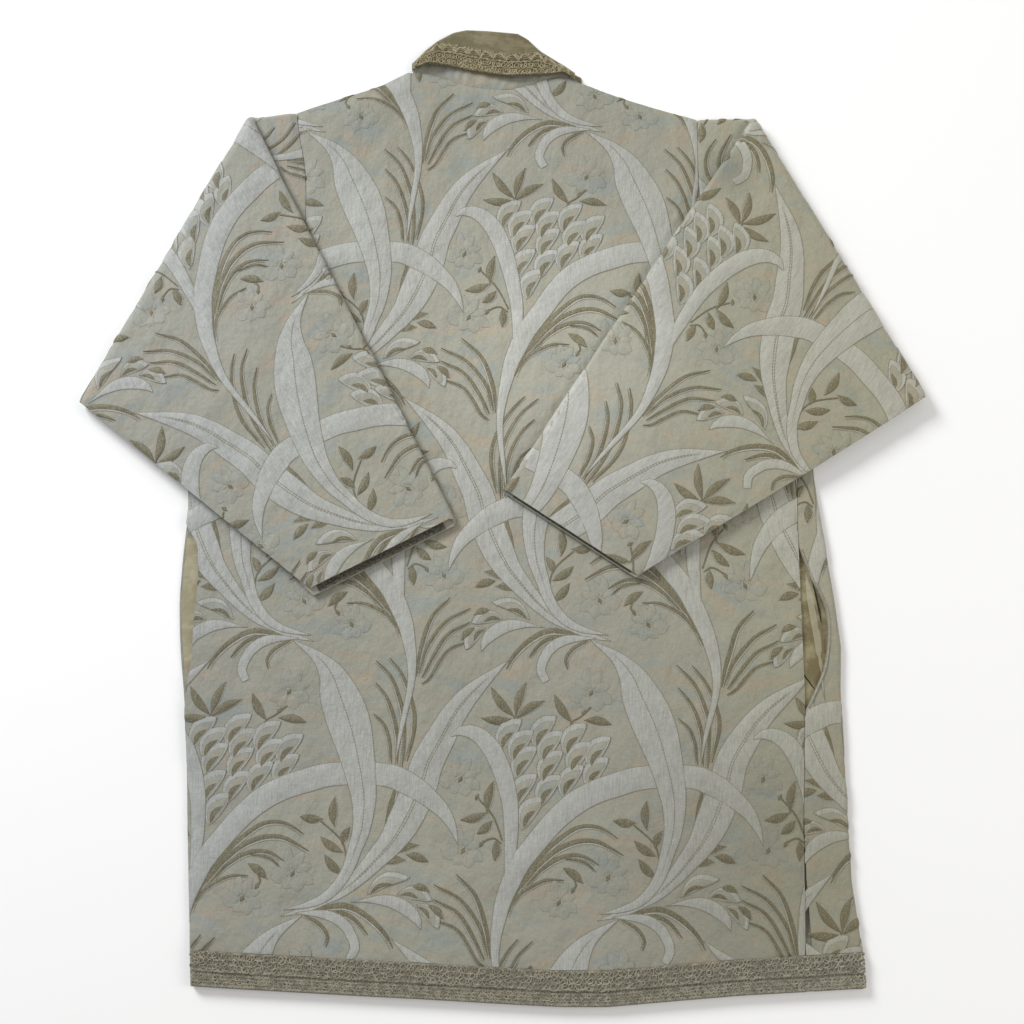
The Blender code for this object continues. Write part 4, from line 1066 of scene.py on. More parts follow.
def cuff_line(sleeve):
    """The cuff's edge from the underarm seam of the back layer round the top to the front layer."""
    low = sleeve.under[-1][1]
    back = [(sleeve.length + sleeve.cuff_step, q) for q in np.linspace(low, TURN, 8)]
    turned_top = TURN - math.pi * TURN_MID
    front = [(sleeve.length, q) for q in np.linspace(turned_top, TURN + turned_top - low, 8)]
    return back + front


def sleeve_beyond(sleeve, sheet):
    """How far points of the sheet lie past the fold line, before the sleeve is folded."""
    down = np.where(sheet[:, 1] > TURN, sheet[:, 1], 2 * TURN - math.pi * TURN_MID - sheet[:, 1])
    return sleeve.beyond(sleeve.laid(np.column_stack([sheet[:, 0], down])))


def turned(points, angle):
    """Points of the pattern turned about the middle of a sleeve."""
    away = points - ASKEW_ABOUT
    across = np.array((math.cos(angle), math.sin(angle)))
    return ASKEW_ABOUT + away[:, :1] * across + away[:, 1:2] * (-across[1], across[0])


def build_sleeve(name, cell):
    sleeve = DRAFTS[name]
    outline = sleeve_outline(sleeve, name)
    to_u, to_v = sleeve.pattern

    def to_pattern(points):
        u = points[:, 1] + to_u if sleeve.hand < 0 else to_u - points[:, 1]
        return turned(np.column_stack([u, to_v - points[:, 0]]), sleeve.askew)

    def to_sheet(points):
        straight = turned(points, -sleeve.askew)
        q = straight[:, 0] - to_u if sleeve.hand < 0 else to_u - straight[:, 0]
        return np.column_stack([to_v - straight[:, 1], q])

    def wanted(points):
        beyond = sleeve_beyond(sleeve, points)
        folded = (points[:, 1] < TURN) & (beyond > -FOLD_CENTRE - 2)
        flat = place_flat(sleeve, points)
        seen = under_sleeve(flat) < HIDDEN_DEPTH
        shoulder = (points[:, 1] > -TURN) & (beyond < -FOLD_CENTRE + 2) & seen
        return (folded | shoulder) & inside(points, outline)

    mesh, blades = woven_leaves(outline, to_pattern, to_sheet, wanted)
    drop_faces(mesh, wanted(flat_points(mesh.verts)))

    def bends(points):
        beyond = sleeve_beyond(sleeve, points)
        fold = (beyond > -FOLD_CENTRE - 5) & (beyond < -FOLD_CENTRE + math.pi * FOLD_MID + 5)
        return fold | (np.abs(points[:, 1]) < TURN + 1.5)

    refine(mesh, bends, 2)
    armhole = sleeve.draft(curve_through(ARMHOLE[name], SHOULDER_STEP))
    seams = [sleeve.under, sleeve.on_lower(sleeve.under), armhole]
    low, high = outline.min(0), outline.max(0)
    columns = spaced(low[0], high[0], cell)
    rows = spaced(low[1], high[1], cell, (-TURN - 1.5, TURN + 1.0, FINE))
    cloth = sheet_grid(columns, rows)
    trim(cloth, outline)

    def fold_zone(points):
        beyond = sleeve_beyond(sleeve, points)
        return (beyond > -FOLD_CENTRE - 4) & (beyond < -FOLD_CENTRE + math.pi * FOLD_MID + 4)

    refine(cloth, fold_zone, 2)
    thicken(cloth, WALL)

    def clear(points):
        beyond = sleeve_beyond(sleeve, points)
        return np.where(points[:, 1] > TURN, ease(-FOLD_CENTRE, -FOLD_CENTRE - 6, beyond), 1.0)

    panel = lay("sleeve_" + name + "_cloth", cloth, sleeve.place, to_pattern, ["cloth_ground"],
                panel_stands(blades, seams, clear), "sleeve_" + name)
    leaves = lay("sleeve_leaves_" + name, mesh, sleeve.place, to_pattern, KIND_FINISHES,
                 leaf_stands(seams))


def place_flat(sleeve, points):
    return sleeve.place(points, np.zeros(len(points)))[:, :2]


def ribbon(name, node, outline, place, thickness, cell, finish="ribbon", pattern=identity,
           fine=None, stands=None):
    """A plain ribbon of braid or satin, cut to an outline."""
    low, high = outline.min(0), outline.max(0)
    cloth = sheet_grid(spaced(low[0], high[0], cell, fine), spaced(low[1], high[1], min(cell, 3.0)))
    trim(cloth, outline)
    thicken(cloth, thickness)
    return lay(name, cloth, place, pattern, [finish], stands, node)


# Cords on the braids
SWAYS = ((0.22, 0.37, 1), (0.16, 0.83, 0), (0.28, 1.71, 2))  # share, rate and phase of uneven loops
LOOP_SHARE = 6.4  # a ribbon's width over the radius of its loops
LOOP_STEP = 1.5
LOOP_CORD = (0.52, 0.7)  # half width and rise
LACE_LOOPS = (  # how far up the ribbon, pitch over radius, phase and base of each row of loops
    (0.21, 1.45, 0.0, 0.10), (0.79, 1.56, 1.3, 0.22), (0.5, 1.67, 2.6, 0.34),
)
EDGE_WAVE = (2.9, 0.9, 0.8)  # pitch, height and step
EDGE_CORDS = ((0.05, 0.5, 0.6, 0.2), (0.97, 0.5, 0.6, 0.2))  # how far up, half width, rise and base
COLLAR_LOOP = (4.6, 2.3, 1.2)  # pitch, radius and step
COLLAR_LOOPS = ((0.17, 0.0, 0.1), (0.42, 1.9, 0.2))  # how far up, phase and base
COLLAR_CORD = (0.6, 0.7)
COLLAR_WAVES = (  # pitch, height and step of a wave, then how far up, half width, rise and base
    ((3.0, 0.7, 0.9), (0.04, 0.55, 0.6, 0.2)), ((4.2, 0.6, 1.1), (0.60, 0.85, 0.9, 0.3)),
)
SCALLOPS = ((0.26, 0.85), (0.17, 0.6), (0.08, 0.5))  # height as a share of the width, and half width
SCALLOP_PITCH = 12.7
SCALLOP_UP = 0.66


def scroll_line(start, end, pitch, radius, step, phase=0.0):
    """A cord that runs from start to end in loops, as distances along and off the ribbon's line."""
    turns = (end - start) / pitch
    count = max(8, round(turns * (2 * math.pi * radius + pitch) / step))
    t = np.linspace(0, 2 * math.pi * turns, count)
    uneven = radius * (1 + sum(share * np.sin(rate * t + lag * phase) for share, rate, lag in SWAYS))
    return np.column_stack([start + pitch * t / (2 * math.pi) - uneven * np.sin(t + phase),
                            uneven * np.cos(t + phase) + 0.06 * radius * np.sin(0.21 * t)])


def wave_line(start, end, pitch, height, step):
    t = np.linspace(0, 1, max(8, round((end - start) / step)))
    return np.column_stack([start + (end - start) * t,
                            height * np.sin(2 * math.pi * (end - start) * t / pitch)])


def scallop_line(start, end, pitch, height, step):
    x = np.linspace(start, end, round((end - start) / step))
    return np.column_stack([x, height * np.abs(np.sin(math.pi * (x - start) / pitch)) ** 0.7])


def cords(name, rows, to_sheet, place, finish="cord"):
    """Cords sewn along a ribbon. Each row: line, how far it lies up the ribbon, half width, rise, base."""
    mesh = new_strips()
    for line, up, half, rise, base in rows:
        sheet = to_sheet(line + (0, up))
        strip_into(mesh, "pale", 0, rise, 0.0, 0.0, base, sheet, np.full(len(sheet), half))
    for face in mesh.faces:
        face.material_index = 0
    return lay(name, mesh, place, identity, [finish])


def lace_rows(start, end, width):
    """Rows of looped cords between two waved ones, which fill a ribbon of the given width."""
    loop = width / LOOP_SHARE
    rows = [(scroll_line(start, end, loop * pitch, loop, LOOP_STEP, phase), up * width, *LOOP_CORD, base)
            for up, pitch, phase, base in LACE_LOOPS]
    rows += [(wave_line(start, end, *EDGE_WAVE), up * width, *cord) for up, *cord in EDGE_CORDS]
    return rows


def collar_rows(start, end, width):
    """Two rows of small loops, a cord and a row of scallops on top."""
    pitch, radius, step = COLLAR_LOOP
    rows = [(scroll_line(start, end, pitch, radius, step, phase), up * width, *COLLAR_CORD, base)
            for up, phase, base in COLLAR_LOOPS]
    rows += [(wave_line(start, end, *wave), up * width, *cord) for wave, (up, *cord) in COLLAR_WAVES]
    for height, half in SCALLOPS:
        scallops = scallop_line(start, end, SCALLOP_PITCH, height * width, 1.0)
        rows.append((scallops, SCALLOP_UP * width, half, 0.7, 0.15))
    return rows


def turned_hem(points):
    """Points along the hem's sheet, given by distance along and height above the hem line."""
    u = points[:, 0]
    centre = side_at(-455.0, 2) - TURN
    x = np.where(u > centre, 2 * centre + math.pi * TURN_MID - u, u)
    return np.column_stack([u, hem_at(np.minimum(x, 322.0)) + points[:, 1]])


# The hem braid: where its ribbon starts and ends along the hem, its groove and its cords
HEM_TOP = (-281.0, 316.0)
HEM_LOW = (-279.5, 316.0)
HEM_TRIM = 0.6
HEM_GROOVE = 12.5  # how far up the ribbon it lies
GROOVE_DEPTH = 0.9
GROOVE_REACH = 1.6
LACE_ENDS = (-278.0, 327.0)
NARROW_LACE_ENDS = (-277.0, 327.0)
LACE_INSET = 1.5
NARROW_INSET = 1.6


def build_hem_braid(cell):
    edge = MIDDLE_X + FRONT_GAP
    right = HEM_TOP[1]
    top = [(x, braid_top(x)) for x in np.linspace(*HEM_TOP, 60)]
    low = [(x, hem_at(x) + HEM_TRIM) for x in np.linspace(HEM_LOW[1], HEM_LOW[0], 60)]
    under_top = under_right([(x, braid_top(x)) for x in np.linspace(right, edge, 18)])
    under_low = under_right([(x, hem_at(x) + HEM_TRIM) for x in np.linspace(edge, right, 18)])
    outline = closed_line(top, under_top, under_low, low)
    turn = (side_at(-440.0, 2) - TURN - 4, side_at(-440.0, 2) - TURN + 12, FINE)

    def above_body(sheet, depth):
        return body_place(sheet, depth - BRAID_LIFT)

    def stands(sheet):
        up = sheet[:, 1] - turned_hem(np.column_stack([sheet[:, 0], np.zeros(len(sheet))]))[:, 1]
        away = np.abs(up - HEM_GROOVE)
        return np.where(sheet[:, 2] == 0, -GROOVE_DEPTH * np.exp(-(away / GROOVE_REACH) ** 2), 0.0)

    ribbon_piece = ribbon("hem_ribbon", "hem_braid", outline, above_body, BRAID, cell, fine=turn,
                          stands=stands)
    wide = lace_rows(*LACE_ENDS, SHOWN_BRAID - HEM_GROOVE - 2)
    narrow = lace_rows(*NARROW_LACE_ENDS, HEM_GROOVE - 2.5)
    rows = [(line, up + HEM_GROOVE + LACE_INSET, *cord) for line, up, *cord in wide]
    rows += [(line, up + NARROW_INSET, *cord) for line, up, *cord in narrow]
    lace = cords("hem_lace", rows, turned_hem, above_body)
    ends = (HEM_LOW[0], MIDDLE_X - FRONT_GAP)
    left = closed_line([(x, braid_top(x)) for x in np.linspace(*ends, 16)],
                       [(x, hem_at(x) + HEM_TRIM) for x in np.linspace(*ends[::-1], 16)])
    lower = ribbon("hem_ribbon_left", "hem_braid_left", left, braid_on_floor, BRAID, 6.0,
                   stands=turned_over(BRAID))


def braid_on_floor(sheet, depth):
    """A point of braid or of a collar leaf that lies face down under the fronts."""
    return lower_place(sheet, -BRAID_LIFT - depth)


# How the collar's fall lifts: along its open edge, at its two tips, and softly elsewhere
FALL_OPEN = 1.6
FALL_TIPS = ((-73.0, 9.0), (60.0, 8.0))  # x and reach
TIP_LIFT = 3.2
FALL_SOFT = 0.5
COLLAR_CELLS = (2.2, 1.1)
COLLAR_LACE_ENDS = (-86.0, 67.0)
LACE_UP = 0.6
STAND_CELL = 2.0
STAND_TUCK = 7.5  # how far the stand's top stays below the roll


def fall_sizes():
    """The outer radius of the fall's roll, and the height of its middle."""
    top = STACK + FALL_GAP
    floor = WALL + AIR - FALL_GAP - FALL_WALL
    outer = (top + FALL_WALL - floor) / 2
    return outer, floor + outer


def fall_lines(x):
    """The roll's line, the fall's lower edge and the straight length between them, at each x."""
    outer, _ = fall_sizes()
    roll = np.interp(x, COLLAR_ROLL[:, 0], COLLAR_ROLL[:, 1])
    edge = np.minimum(np.interp(x, COLLAR_EDGE[:, 0], COLLAR_EDGE[:, 1]), roll - outer - 1.5)
    return roll, edge, roll - outer - edge


def fall_place(sheet, depth):
    """The collar's fall: x along it, then the distance from its lower edge up, round the roll and back."""
    outer, middle = fall_sizes()
    x, s = sheet[:, 0], sheet[:, 1]
    _, edge, straight = fall_lines(x)
    mid = outer - FALL_WALL / 2
    angle = np.clip((s - straight) / mid, 0, math.pi)
    past = np.maximum(s - straight - math.pi * mid, 0)
    radius = outer - depth
    y = np.where(s < straight, edge + s, edge + straight + radius * np.sin(angle) - past)
    z = middle + radius * np.cos(angle)
    above = np.maximum(s, 0)
    lift = FALL_OPEN * np.exp(-above / 12) * (1 + np.sin(x / 15.0 + 0.6)) * ease(0, 20, straight)
    for tip, reach in FALL_TIPS:
        lift = lift + TIP_LIFT * np.exp(-((x - tip) / reach) ** 2) * np.exp(-above / 9)
    lift = lift + FALL_SOFT * np.sin(x / 21.0 + s / 17.0) * ease(0, 12, s) * ease(straight, straight - 8, s)
    return np.column_stack([x, y, z + np.where(s < straight + 1, lift, 0)])


def build_collar():
    outer, _ = fall_sizes()
    mid = outer - FALL_WALL / 2
    xs = np.linspace(*COLLAR_ENDS, 50)
    _, _, straight = fall_lines(xs)
    back = np.minimum(FALL_RETURN, straight)
    outline = closed_line(np.column_stack([xs, np.zeros(len(xs))]),
                          np.column_stack([xs, straight + math.pi * mid + back])[::-1])
    low, high = outline.min(0), outline.max(0)
    cloth = sheet_grid(spaced(low[0], high[0], COLLAR_CELLS[0]), spaced(low[1], high[1], COLLAR_CELLS[1]))
    trim(cloth, outline)
    thicken(cloth, FALL_WALL)
    fall = lay("collar_fall_cloth", cloth, fall_place, identity, ["collar_satin"],
               node="collar_fall")

    def width_at(x):
        _, _, length = fall_lines(x)
        return np.clip(length - 1.0, 1.0, COLLAR_BRAID_WIDTH)

    inner = xs[1:-1]
    band = closed_line(np.column_stack([inner, np.full(len(inner), 0.5)]),
                       np.column_stack([inner, width_at(inner)])[::-1])

    def above_fall(sheet, depth):
        return fall_place(sheet, depth - BRAID_LIFT)

    ribbon_piece = ribbon("collar_ribbon", "collar_braid", band, above_fall, BRAID, 2.4,
                          finish="collar_ribbon_weave")
    rows = []
    for line, up, half, rise, base in collar_rows(*COLLAR_LACE_ENDS, COLLAR_BRAID_WIDTH - 1.5):
        flat = line + (0, up)
        flat[:, 1] = flat[:, 1] * width_at(flat[:, 0]) / COLLAR_BRAID_WIDTH
        rows.append((flat, LACE_UP, half, rise, base))
    lace = cords("collar_lace", rows, identity, above_fall, finish="collar_cord")

    seam = curve_through(BACK_NECK, 5)[1:-1] + (0, 2 * SEAM)
    top = np.array([(x, np.interp(x, COLLAR_ROLL[:, 0], COLLAR_ROLL[:, 1]) - STAND_TUCK) for x in seam[:, 0]])
    top[:, 1] = np.maximum(top[:, 1], seam[:, 1] + 1.5)
    outline = closed_line(seam, top[::-1])
    low, high = outline.min(0), outline.max(0)
    cloth = sheet_grid(spaced(low[0], high[0], STAND_CELL), spaced(low[1], high[1], STAND_CELL))
    trim(cloth, outline)
    thicken(cloth, WALL)

    def gathers(sheet):
        away = distance_to(sheet[:, :2], seam, closed=False)
        wave = 0.5 * np.sin(sheet[:, 0] / 1.9 + np.sin(sheet[:, 0] / 7.0) * 1.4)
        return np.where(sheet[:, 2] == 0, wave * ease(1, 5, away) - np.exp(-(away / 2.0) ** 2), 0.0)

    stand = lay("collar_stand_cloth", cloth, body_place, identity, ["cloth_ground"], gathers,
                "collar_stand")
    for name, hand in (("left", 1), ("right", -1)):
        leaf = ribbon("collar_leaf_cloth_" + name, "collar_leaf_" + name, leaf_outline(hand),
                      braid_on_floor, BRAID, 5.0, "collar_satin", stands=turned_over(BRAID))


def build_cuffs():
    for name, sleeve in DRAFTS.items():
        low = sleeve.under[-1][1] - 7
        end = sleeve.length + sleeve.cuff_step - 1.0
        start = end - CUFF_BRAID_WIDTH
        down = np.linspace(TURN + 8, low, 7)
        outline = closed_line([(start, q) for q in down], [(end, q) for q in down[::-1]])

        def within(sheet, depth, sleeve=sleeve):
            return sleeve.place(sheet, WALL + 0.3 + CUFF_BRAID_WALL - depth)

        band = ribbon("cuff_ribbon_" + name, "cuff_braid_" + name, outline, within, CUFF_BRAID_WALL, 3.0,
                      finish="shaded_cuff_ribbon")


# Pocket bags: the creases in the left one's satin, and the strips at the right one's mouth, whose slit and
# seam strips are near-black painted shadow
LEFT_CREASES = ((-128.0, 0.0), (-155.0, 0.5))  # each crease's height at the left edge, and its slope
LEFT_EDGE = -290.0
CREASE_DEPTH = 0.7
POCKET_STRIPS = (  # kind, route, half width, rise and base
    ("pale", POCKET_FACING, 3.4, 0.7, 0.0), ("olive", POCKET_SLIT_SHADOW, 0.75, 0.1, 0.1),
    ("olive", POCKET_SEAM_SHADOW, 0.5, 0.1, 0.3),
)
POCKET_STEP = 3.0


def left_creases(sheet):
    x, y = sheet[:, 0], sheet[:, 1]
    low = sum(np.exp(-((y - height - slope * (x - LEFT_EDGE)) / 3.0) ** 2) for height, slope in LEFT_CREASES)
    return np.where(sheet[:, 2] == 0, -CREASE_DEPTH * low, 0.0)


def right_creases(sheet):
    x, y = sheet[:, 0], sheet[:, 1]
    wave = CREASE_DEPTH * np.exp(-((x - 296 + 0.12 * (y + 130)) / 2.6) ** 2)
    wave *= ease(-205, -190, y) * ease(-60, -80, y)
    cross = 0.5 * np.exp(-((y + 168 - (x - 285) * 0.8) / 5) ** 2)
    dip = -0.8 * np.exp(-((x - 300 + 0.1 * (y + 130)) / 1.8) ** 2)
    return np.where(sheet[:, 2] == 0, wave + cross + dip, 0.0)


def pocket_place(sheet, depth):
    return np.column_stack([sheet, POCKET_FLOOR + POCKET_SHEET - depth])


def build_pockets():
    bags = (("right", right_creases, "pocket_satin"), ("left", left_creases, "facing_satin"))
    for name, creases, finish in bags:
        outline = np.array(POCKET_BAG[name], float)
        bag = ribbon("pocket_cloth_" + name, "pocket_bag_" + name, outline, pocket_place, POCKET_SHEET, 2.6,
                     finish, stands=creases)
        pieces = []
        if name == "right":
            mesh = new_strips()
            for kind, route, half, rise, base in POCKET_STRIPS:
                line = curve_through(route, POCKET_STEP)
                share = np.linspace(0, 1, len(line))
                taper = np.minimum(1, 5 * share * (1 - share) + 0.1)
                strip_into(mesh, kind, 0, rise, 0.0, 0.0, base, line, half * taper)
            # the slit and seam strips take the painted shadow
            finishes = ["facing_satin", "pocket_shadow", "facing_satin", "facing_satin"]
            pieces = [lay("pocket_facing", mesh, pocket_place, identity, finishes)]


def shade(red, green, blue):
    """A colour read as display values from 0 to 255, in the linear values that Blender takes."""
    values = [value / 255 for value in (red, green, blue)]
    return (*[v / 12.92 if v <= 0.04045 else ((v + 0.055) / 1.055) ** 2.4 for v in values], 1.0)


SAGE = shade(158, 157, 143)
BLUE_GREY = shade(149, 154, 147)
PEACH = shade(164, 156, 139)
PALE = shade(177, 178, 172)
PALE_DEEP = shade(164, 165, 158)
GHOST = shade(144, 147, 140)
OLIVE = shade(122, 116, 93)
OLIVE_DEEP = shade(104, 98, 77)
OLIVE_LIGHT = shade(148, 144, 124)
# the stitched outlines' thread, and also the painted shade at the piping's edges
STITCH_AND_SHADE = shade(120, 115, 97)
# painted shade at the hem cords' edges
BRAID_EDGE_SHADE = shade(99, 95, 81)
# painted shade: the cuff braid's ribbon is a darker copy of the hem braid's, for the shade inside the cuff
CUFF_RIBBON_SHADED = shade(96, 92, 78)
CUFF_DEEP_SHADED = shade(52, 50, 42)
BRAID_MIDDLE = shade(152, 147, 129)
BRAID_LIGHT = shade(190, 184, 163)
RIBBON_DEEP = shade(116, 111, 95)
SATIN = shade(128, 119, 91)
SATIN_DEEP = shade(103, 95, 68)
GREY_THREAD = shade(126, 127, 117)
POCKET_SATIN = shade(152, 143, 110)
POCKET_DEEP = shade(110, 100, 68)
# painted shadow in the right pocket's slit and seam
POCKET_SHADOW = shade(34, 32, 26)
FACING = shade(166, 159, 134)
FACING_DEEP = shade(150, 142, 116)
COLLAR_LIGHT = shade(198, 187, 152)
COLLAR_MIDDLE = shade(156, 145, 112)
# the collar ribbon's deeper weave, and also the painted shade at the collar cords' edges
COLLAR_DEEP_AND_SHADE = shade(90, 81, 58)
PIPING_LIGHT = shade(178, 172, 154)
FLOOR = shade(252, 252, 252)
FLOOR_GRAIN = shade(236, 236, 235)
PAINTED_WARM_LIGHT = (1.0, 0.97, 0.87, 1.0)  # painted warm light: what the cloth's colour is multiplied by at the right edge
PAINTED_COOL_LIGHT = (0.94, 0.95, 1.0, 1.0)  # painted cool light: the same at the left edge
THREAD = 0.9  # millimetres between threads of the weave
GROUND_WRINKLES = 4.6  # millimetres of bump in the cloth and in its woven strips
STRIP_WRINKLES = 4.2
HEM_SHADE = 0.08  # painted shade: how much darker the cloth is painted towards the hem, where less light falls
PAINTED_LIGHT_AND_SHADE = (  # x, y, reach and change of painted pools of light and painted shade; the last is the painted shadow of the fold at the right armhole
    (50, 130, 180, 0.20), (-110, 395, 150, -0.13), (90, 400, 160, -0.09), (220, -340, 180, -0.14),
    (-190, -360, 190, 0.04), (-250, 330, 110, -0.06), (-290, 130, 90, 0.03), (224, 316, 42, -0.26),
)


class Finish:
    """Writes one material's nodes. Sockets and plain values can be mixed freely."""

    def __init__(self, name, roughness, sheen=0.0, specular=0.3):
        self.material = bpy.data.materials.new(name)
        self.material.use_nodes = True
        self.tree = self.material.node_tree
        self.shader = self.tree.nodes["Principled BSDF"]
        self.shader.inputs["Roughness"].default_value = roughness
        self.shader.inputs["Sheen Weight"].default_value = sheen
        self.shader.inputs["Sheen Roughness"].default_value = 0.4
        self.shader.inputs["Specular IOR Level"].default_value = specular

    def put(self, kind, inputs=(), **settings):
        node = self.tree.nodes.new(kind)
        for key, value in settings.items():
            setattr(node, key, value)
        for key, value in dict(inputs).items():
            if isinstance(value, bpy.types.NodeSocket):
                self.tree.links.new(value, node.inputs[key])
            else:
                node.inputs[key].default_value = value
        return node

    def sum(self, operation, first, second=0.0, third=0.0):
        inputs = {0: first, 1: second, 2: third}
        return self.put("ShaderNodeMath", inputs, operation=operation).outputs[0]

    def step(self, value, low, high, start=0.0, end=1.0):
        inputs = {"Value": value, "From Min": low, "From Max": high, "To Min": start, "To Max": end}
        return self.put("ShaderNodeMapRange", inputs, interpolation_type="SMOOTHSTEP").outputs["Result"]

    def mix(self, share, first, second):
        return self.put("ShaderNodeMix", {0: share, 6: first, 7: second}, data_type="RGBA").outputs[2]

    def cloth(self):
        """Millimetres across and along the weave."""
        uv = self.put("ShaderNodeUVMap", uv_map="cloth").outputs[0]
        return self.put("ShaderNodeVectorMath", {0: uv, 3: 1000.0}, operation="SCALE").outputs[0]

    def solid(self):
        """The place on the coat, in millimetres."""
        place = self.put("ShaderNodeTexCoord").outputs["Object"]
        return self.put("ShaderNodeVectorMath", {0: place, 3: 1000.0}, operation="SCALE").outputs[0]

    def stretched(self, vector, across, along, shift=0.0):
        scale = (1 / across, 1 / along, 1 / across)
        inputs = {"Vector": vector, "Scale": scale, "Location": (shift, shift, 0)}
        return self.put("ShaderNodeMapping", inputs).outputs[0]

    def noise(self, vector, detail=2.0, scale=1.0):
        inputs = {"Vector": vector, "Scale": scale, "Detail": detail, "Roughness": 0.55}
        return self.put("ShaderNodeTexNoise", inputs).outputs["Fac"]

    def split(self, vector):
        return self.put("ShaderNodeSeparateXYZ", {0: vector}).outputs

    def ripple(self, value, length):
        """A wave from 0 to 1 with the given length."""
        wave = self.sum("SINE", self.sum("MULTIPLY", value, 2 * math.pi / length))
        return self.sum("MULTIPLY_ADD", wave, 0.5, 0.5)

    def strip(self):
        """Across, half width and along, in millimetres, of a raised strip."""
        return self.split(self.put("ShaderNodeAttribute", attribute_name="strip").outputs["Vector"])

    def finish(self, colour, height, depth):
        bump = self.put("ShaderNodeBump", {"Height": height, "Strength": 1.0, "Distance": depth * MM})
        self.tree.links.new(bump.outputs[0], self.shader.inputs["Normal"])
        self.tree.links.new(colour, self.shader.inputs["Base Color"])


def threads(finish, cloth):
    """The plain weave: fine crossing threads with thicker slubs, from 0 to 1."""
    across, along, _ = finish.split(cloth)
    warp = finish.ripple(across, THREAD)
    weft = finish.ripple(along, THREAD * 0.8)
    slub = finish.noise(finish.stretched(cloth, 0.9, 5.0), 1.0)
    cross = finish.noise(finish.stretched(cloth, 6.0, 1.1, 7.0), 1.0)
    fine = finish.sum("MULTIPLY_ADD", warp, 0.5, finish.sum("MULTIPLY", weft, 0.5))
    coarse = finish.sum("MULTIPLY", finish.sum("ADD", slub, cross), 0.35)
    return finish.sum("MULTIPLY_ADD", fine, 0.35, coarse)


def ground_colour(finish, cloth, ground):
    """The ground with faint blue and peach patches, drawn out along the weft."""
    blue = finish.step(finish.noise(finish.stretched(cloth, 60.0, 26.0)), 0.52, 0.68)
    peach = finish.step(finish.noise(finish.stretched(cloth, 54.0, 22.0, 31.0)), 0.52, 0.66)
    colour = finish.mix(blue, ground, BLUE_GREY)
    return finish.mix(peach, colour, PEACH)


def painted_light(finish, colour):
    """Painted light and shade: the cloth is painted darker towards the hem, lighter or darker in places,
    warmer to the right and cooler to the left.
    """
    place = finish.solid()
    # painted shade towards the hem, then painted pools of light and painted shade in given places
    tone = finish.step(finish.split(place)[1], -20.0, -190.0, 1.0, 1.0 - HEM_SHADE)
    for x, y, reach, change in PAINTED_LIGHT_AND_SHADE:
        away = finish.put("ShaderNodeVectorMath", {0: place, 1: (x, y, 0)}, operation="DISTANCE")
        tone = finish.sum("ADD", tone, finish.step(away.outputs["Value"], reach, 0.15 * reach, 0.0, change))
    # painted warm light towards the right edge and painted cool light towards the left
    across = finish.split(place)[0]
    for far, lamp_tint in ((330.0, PAINTED_WARM_LIGHT), (-330.0, PAINTED_COOL_LIGHT)):
        share = finish.step(across, far / 5, far)
        colour = finish.put("ShaderNodeMix", {0: share, 6: colour, 7: lamp_tint}, data_type="RGBA",
                            blend_type="MULTIPLY").outputs[2]
    return finish.put("ShaderNodeHueSaturation", {"Value": tone, "Color": colour}).outputs[0]


def grainy(finish, colour, grain, low=0.84, high=1.1):
    """The colour made lighter and darker by the grain of the threads."""
    value = finish.step(grain, 0.25, 0.75, low, high)
    return finish.put("ShaderNodeHueSaturation", {"Value": value, "Color": colour}).outputs[0]


def wrinkles(finish, grain):
    soft = finish.noise(finish.stretched(finish.solid(), 22.0, 30.0), 4.0)
    return finish.sum("MULTIPLY_ADD", grain, 0.07, soft)


def brocade_finish(ground):
    finish = Finish("cloth_ground", 0.62, 0.25)
    cloth = finish.cloth()
    grain = threads(finish, cloth)
    # the ground's colour, with painted light and shade over it
    colour = painted_light(finish, grainy(finish, ground_colour(finish, cloth, ground), grain))
    finish.finish(colour, wrinkles(finish, grain), GROUND_WRINKLES)


def outlined(finish, colour, edge, along, thread, wide):
    """Draws the stitched outline of a strip over its colour."""
    dashes = finish.step(finish.ripple(along, 2.4), 0.05, 0.4, 0.45, 1.0)
    line = finish.sum("MULTIPLY", finish.step(edge, wide, wide * 0.55), dashes)
    return finish.mix(line, colour, thread)


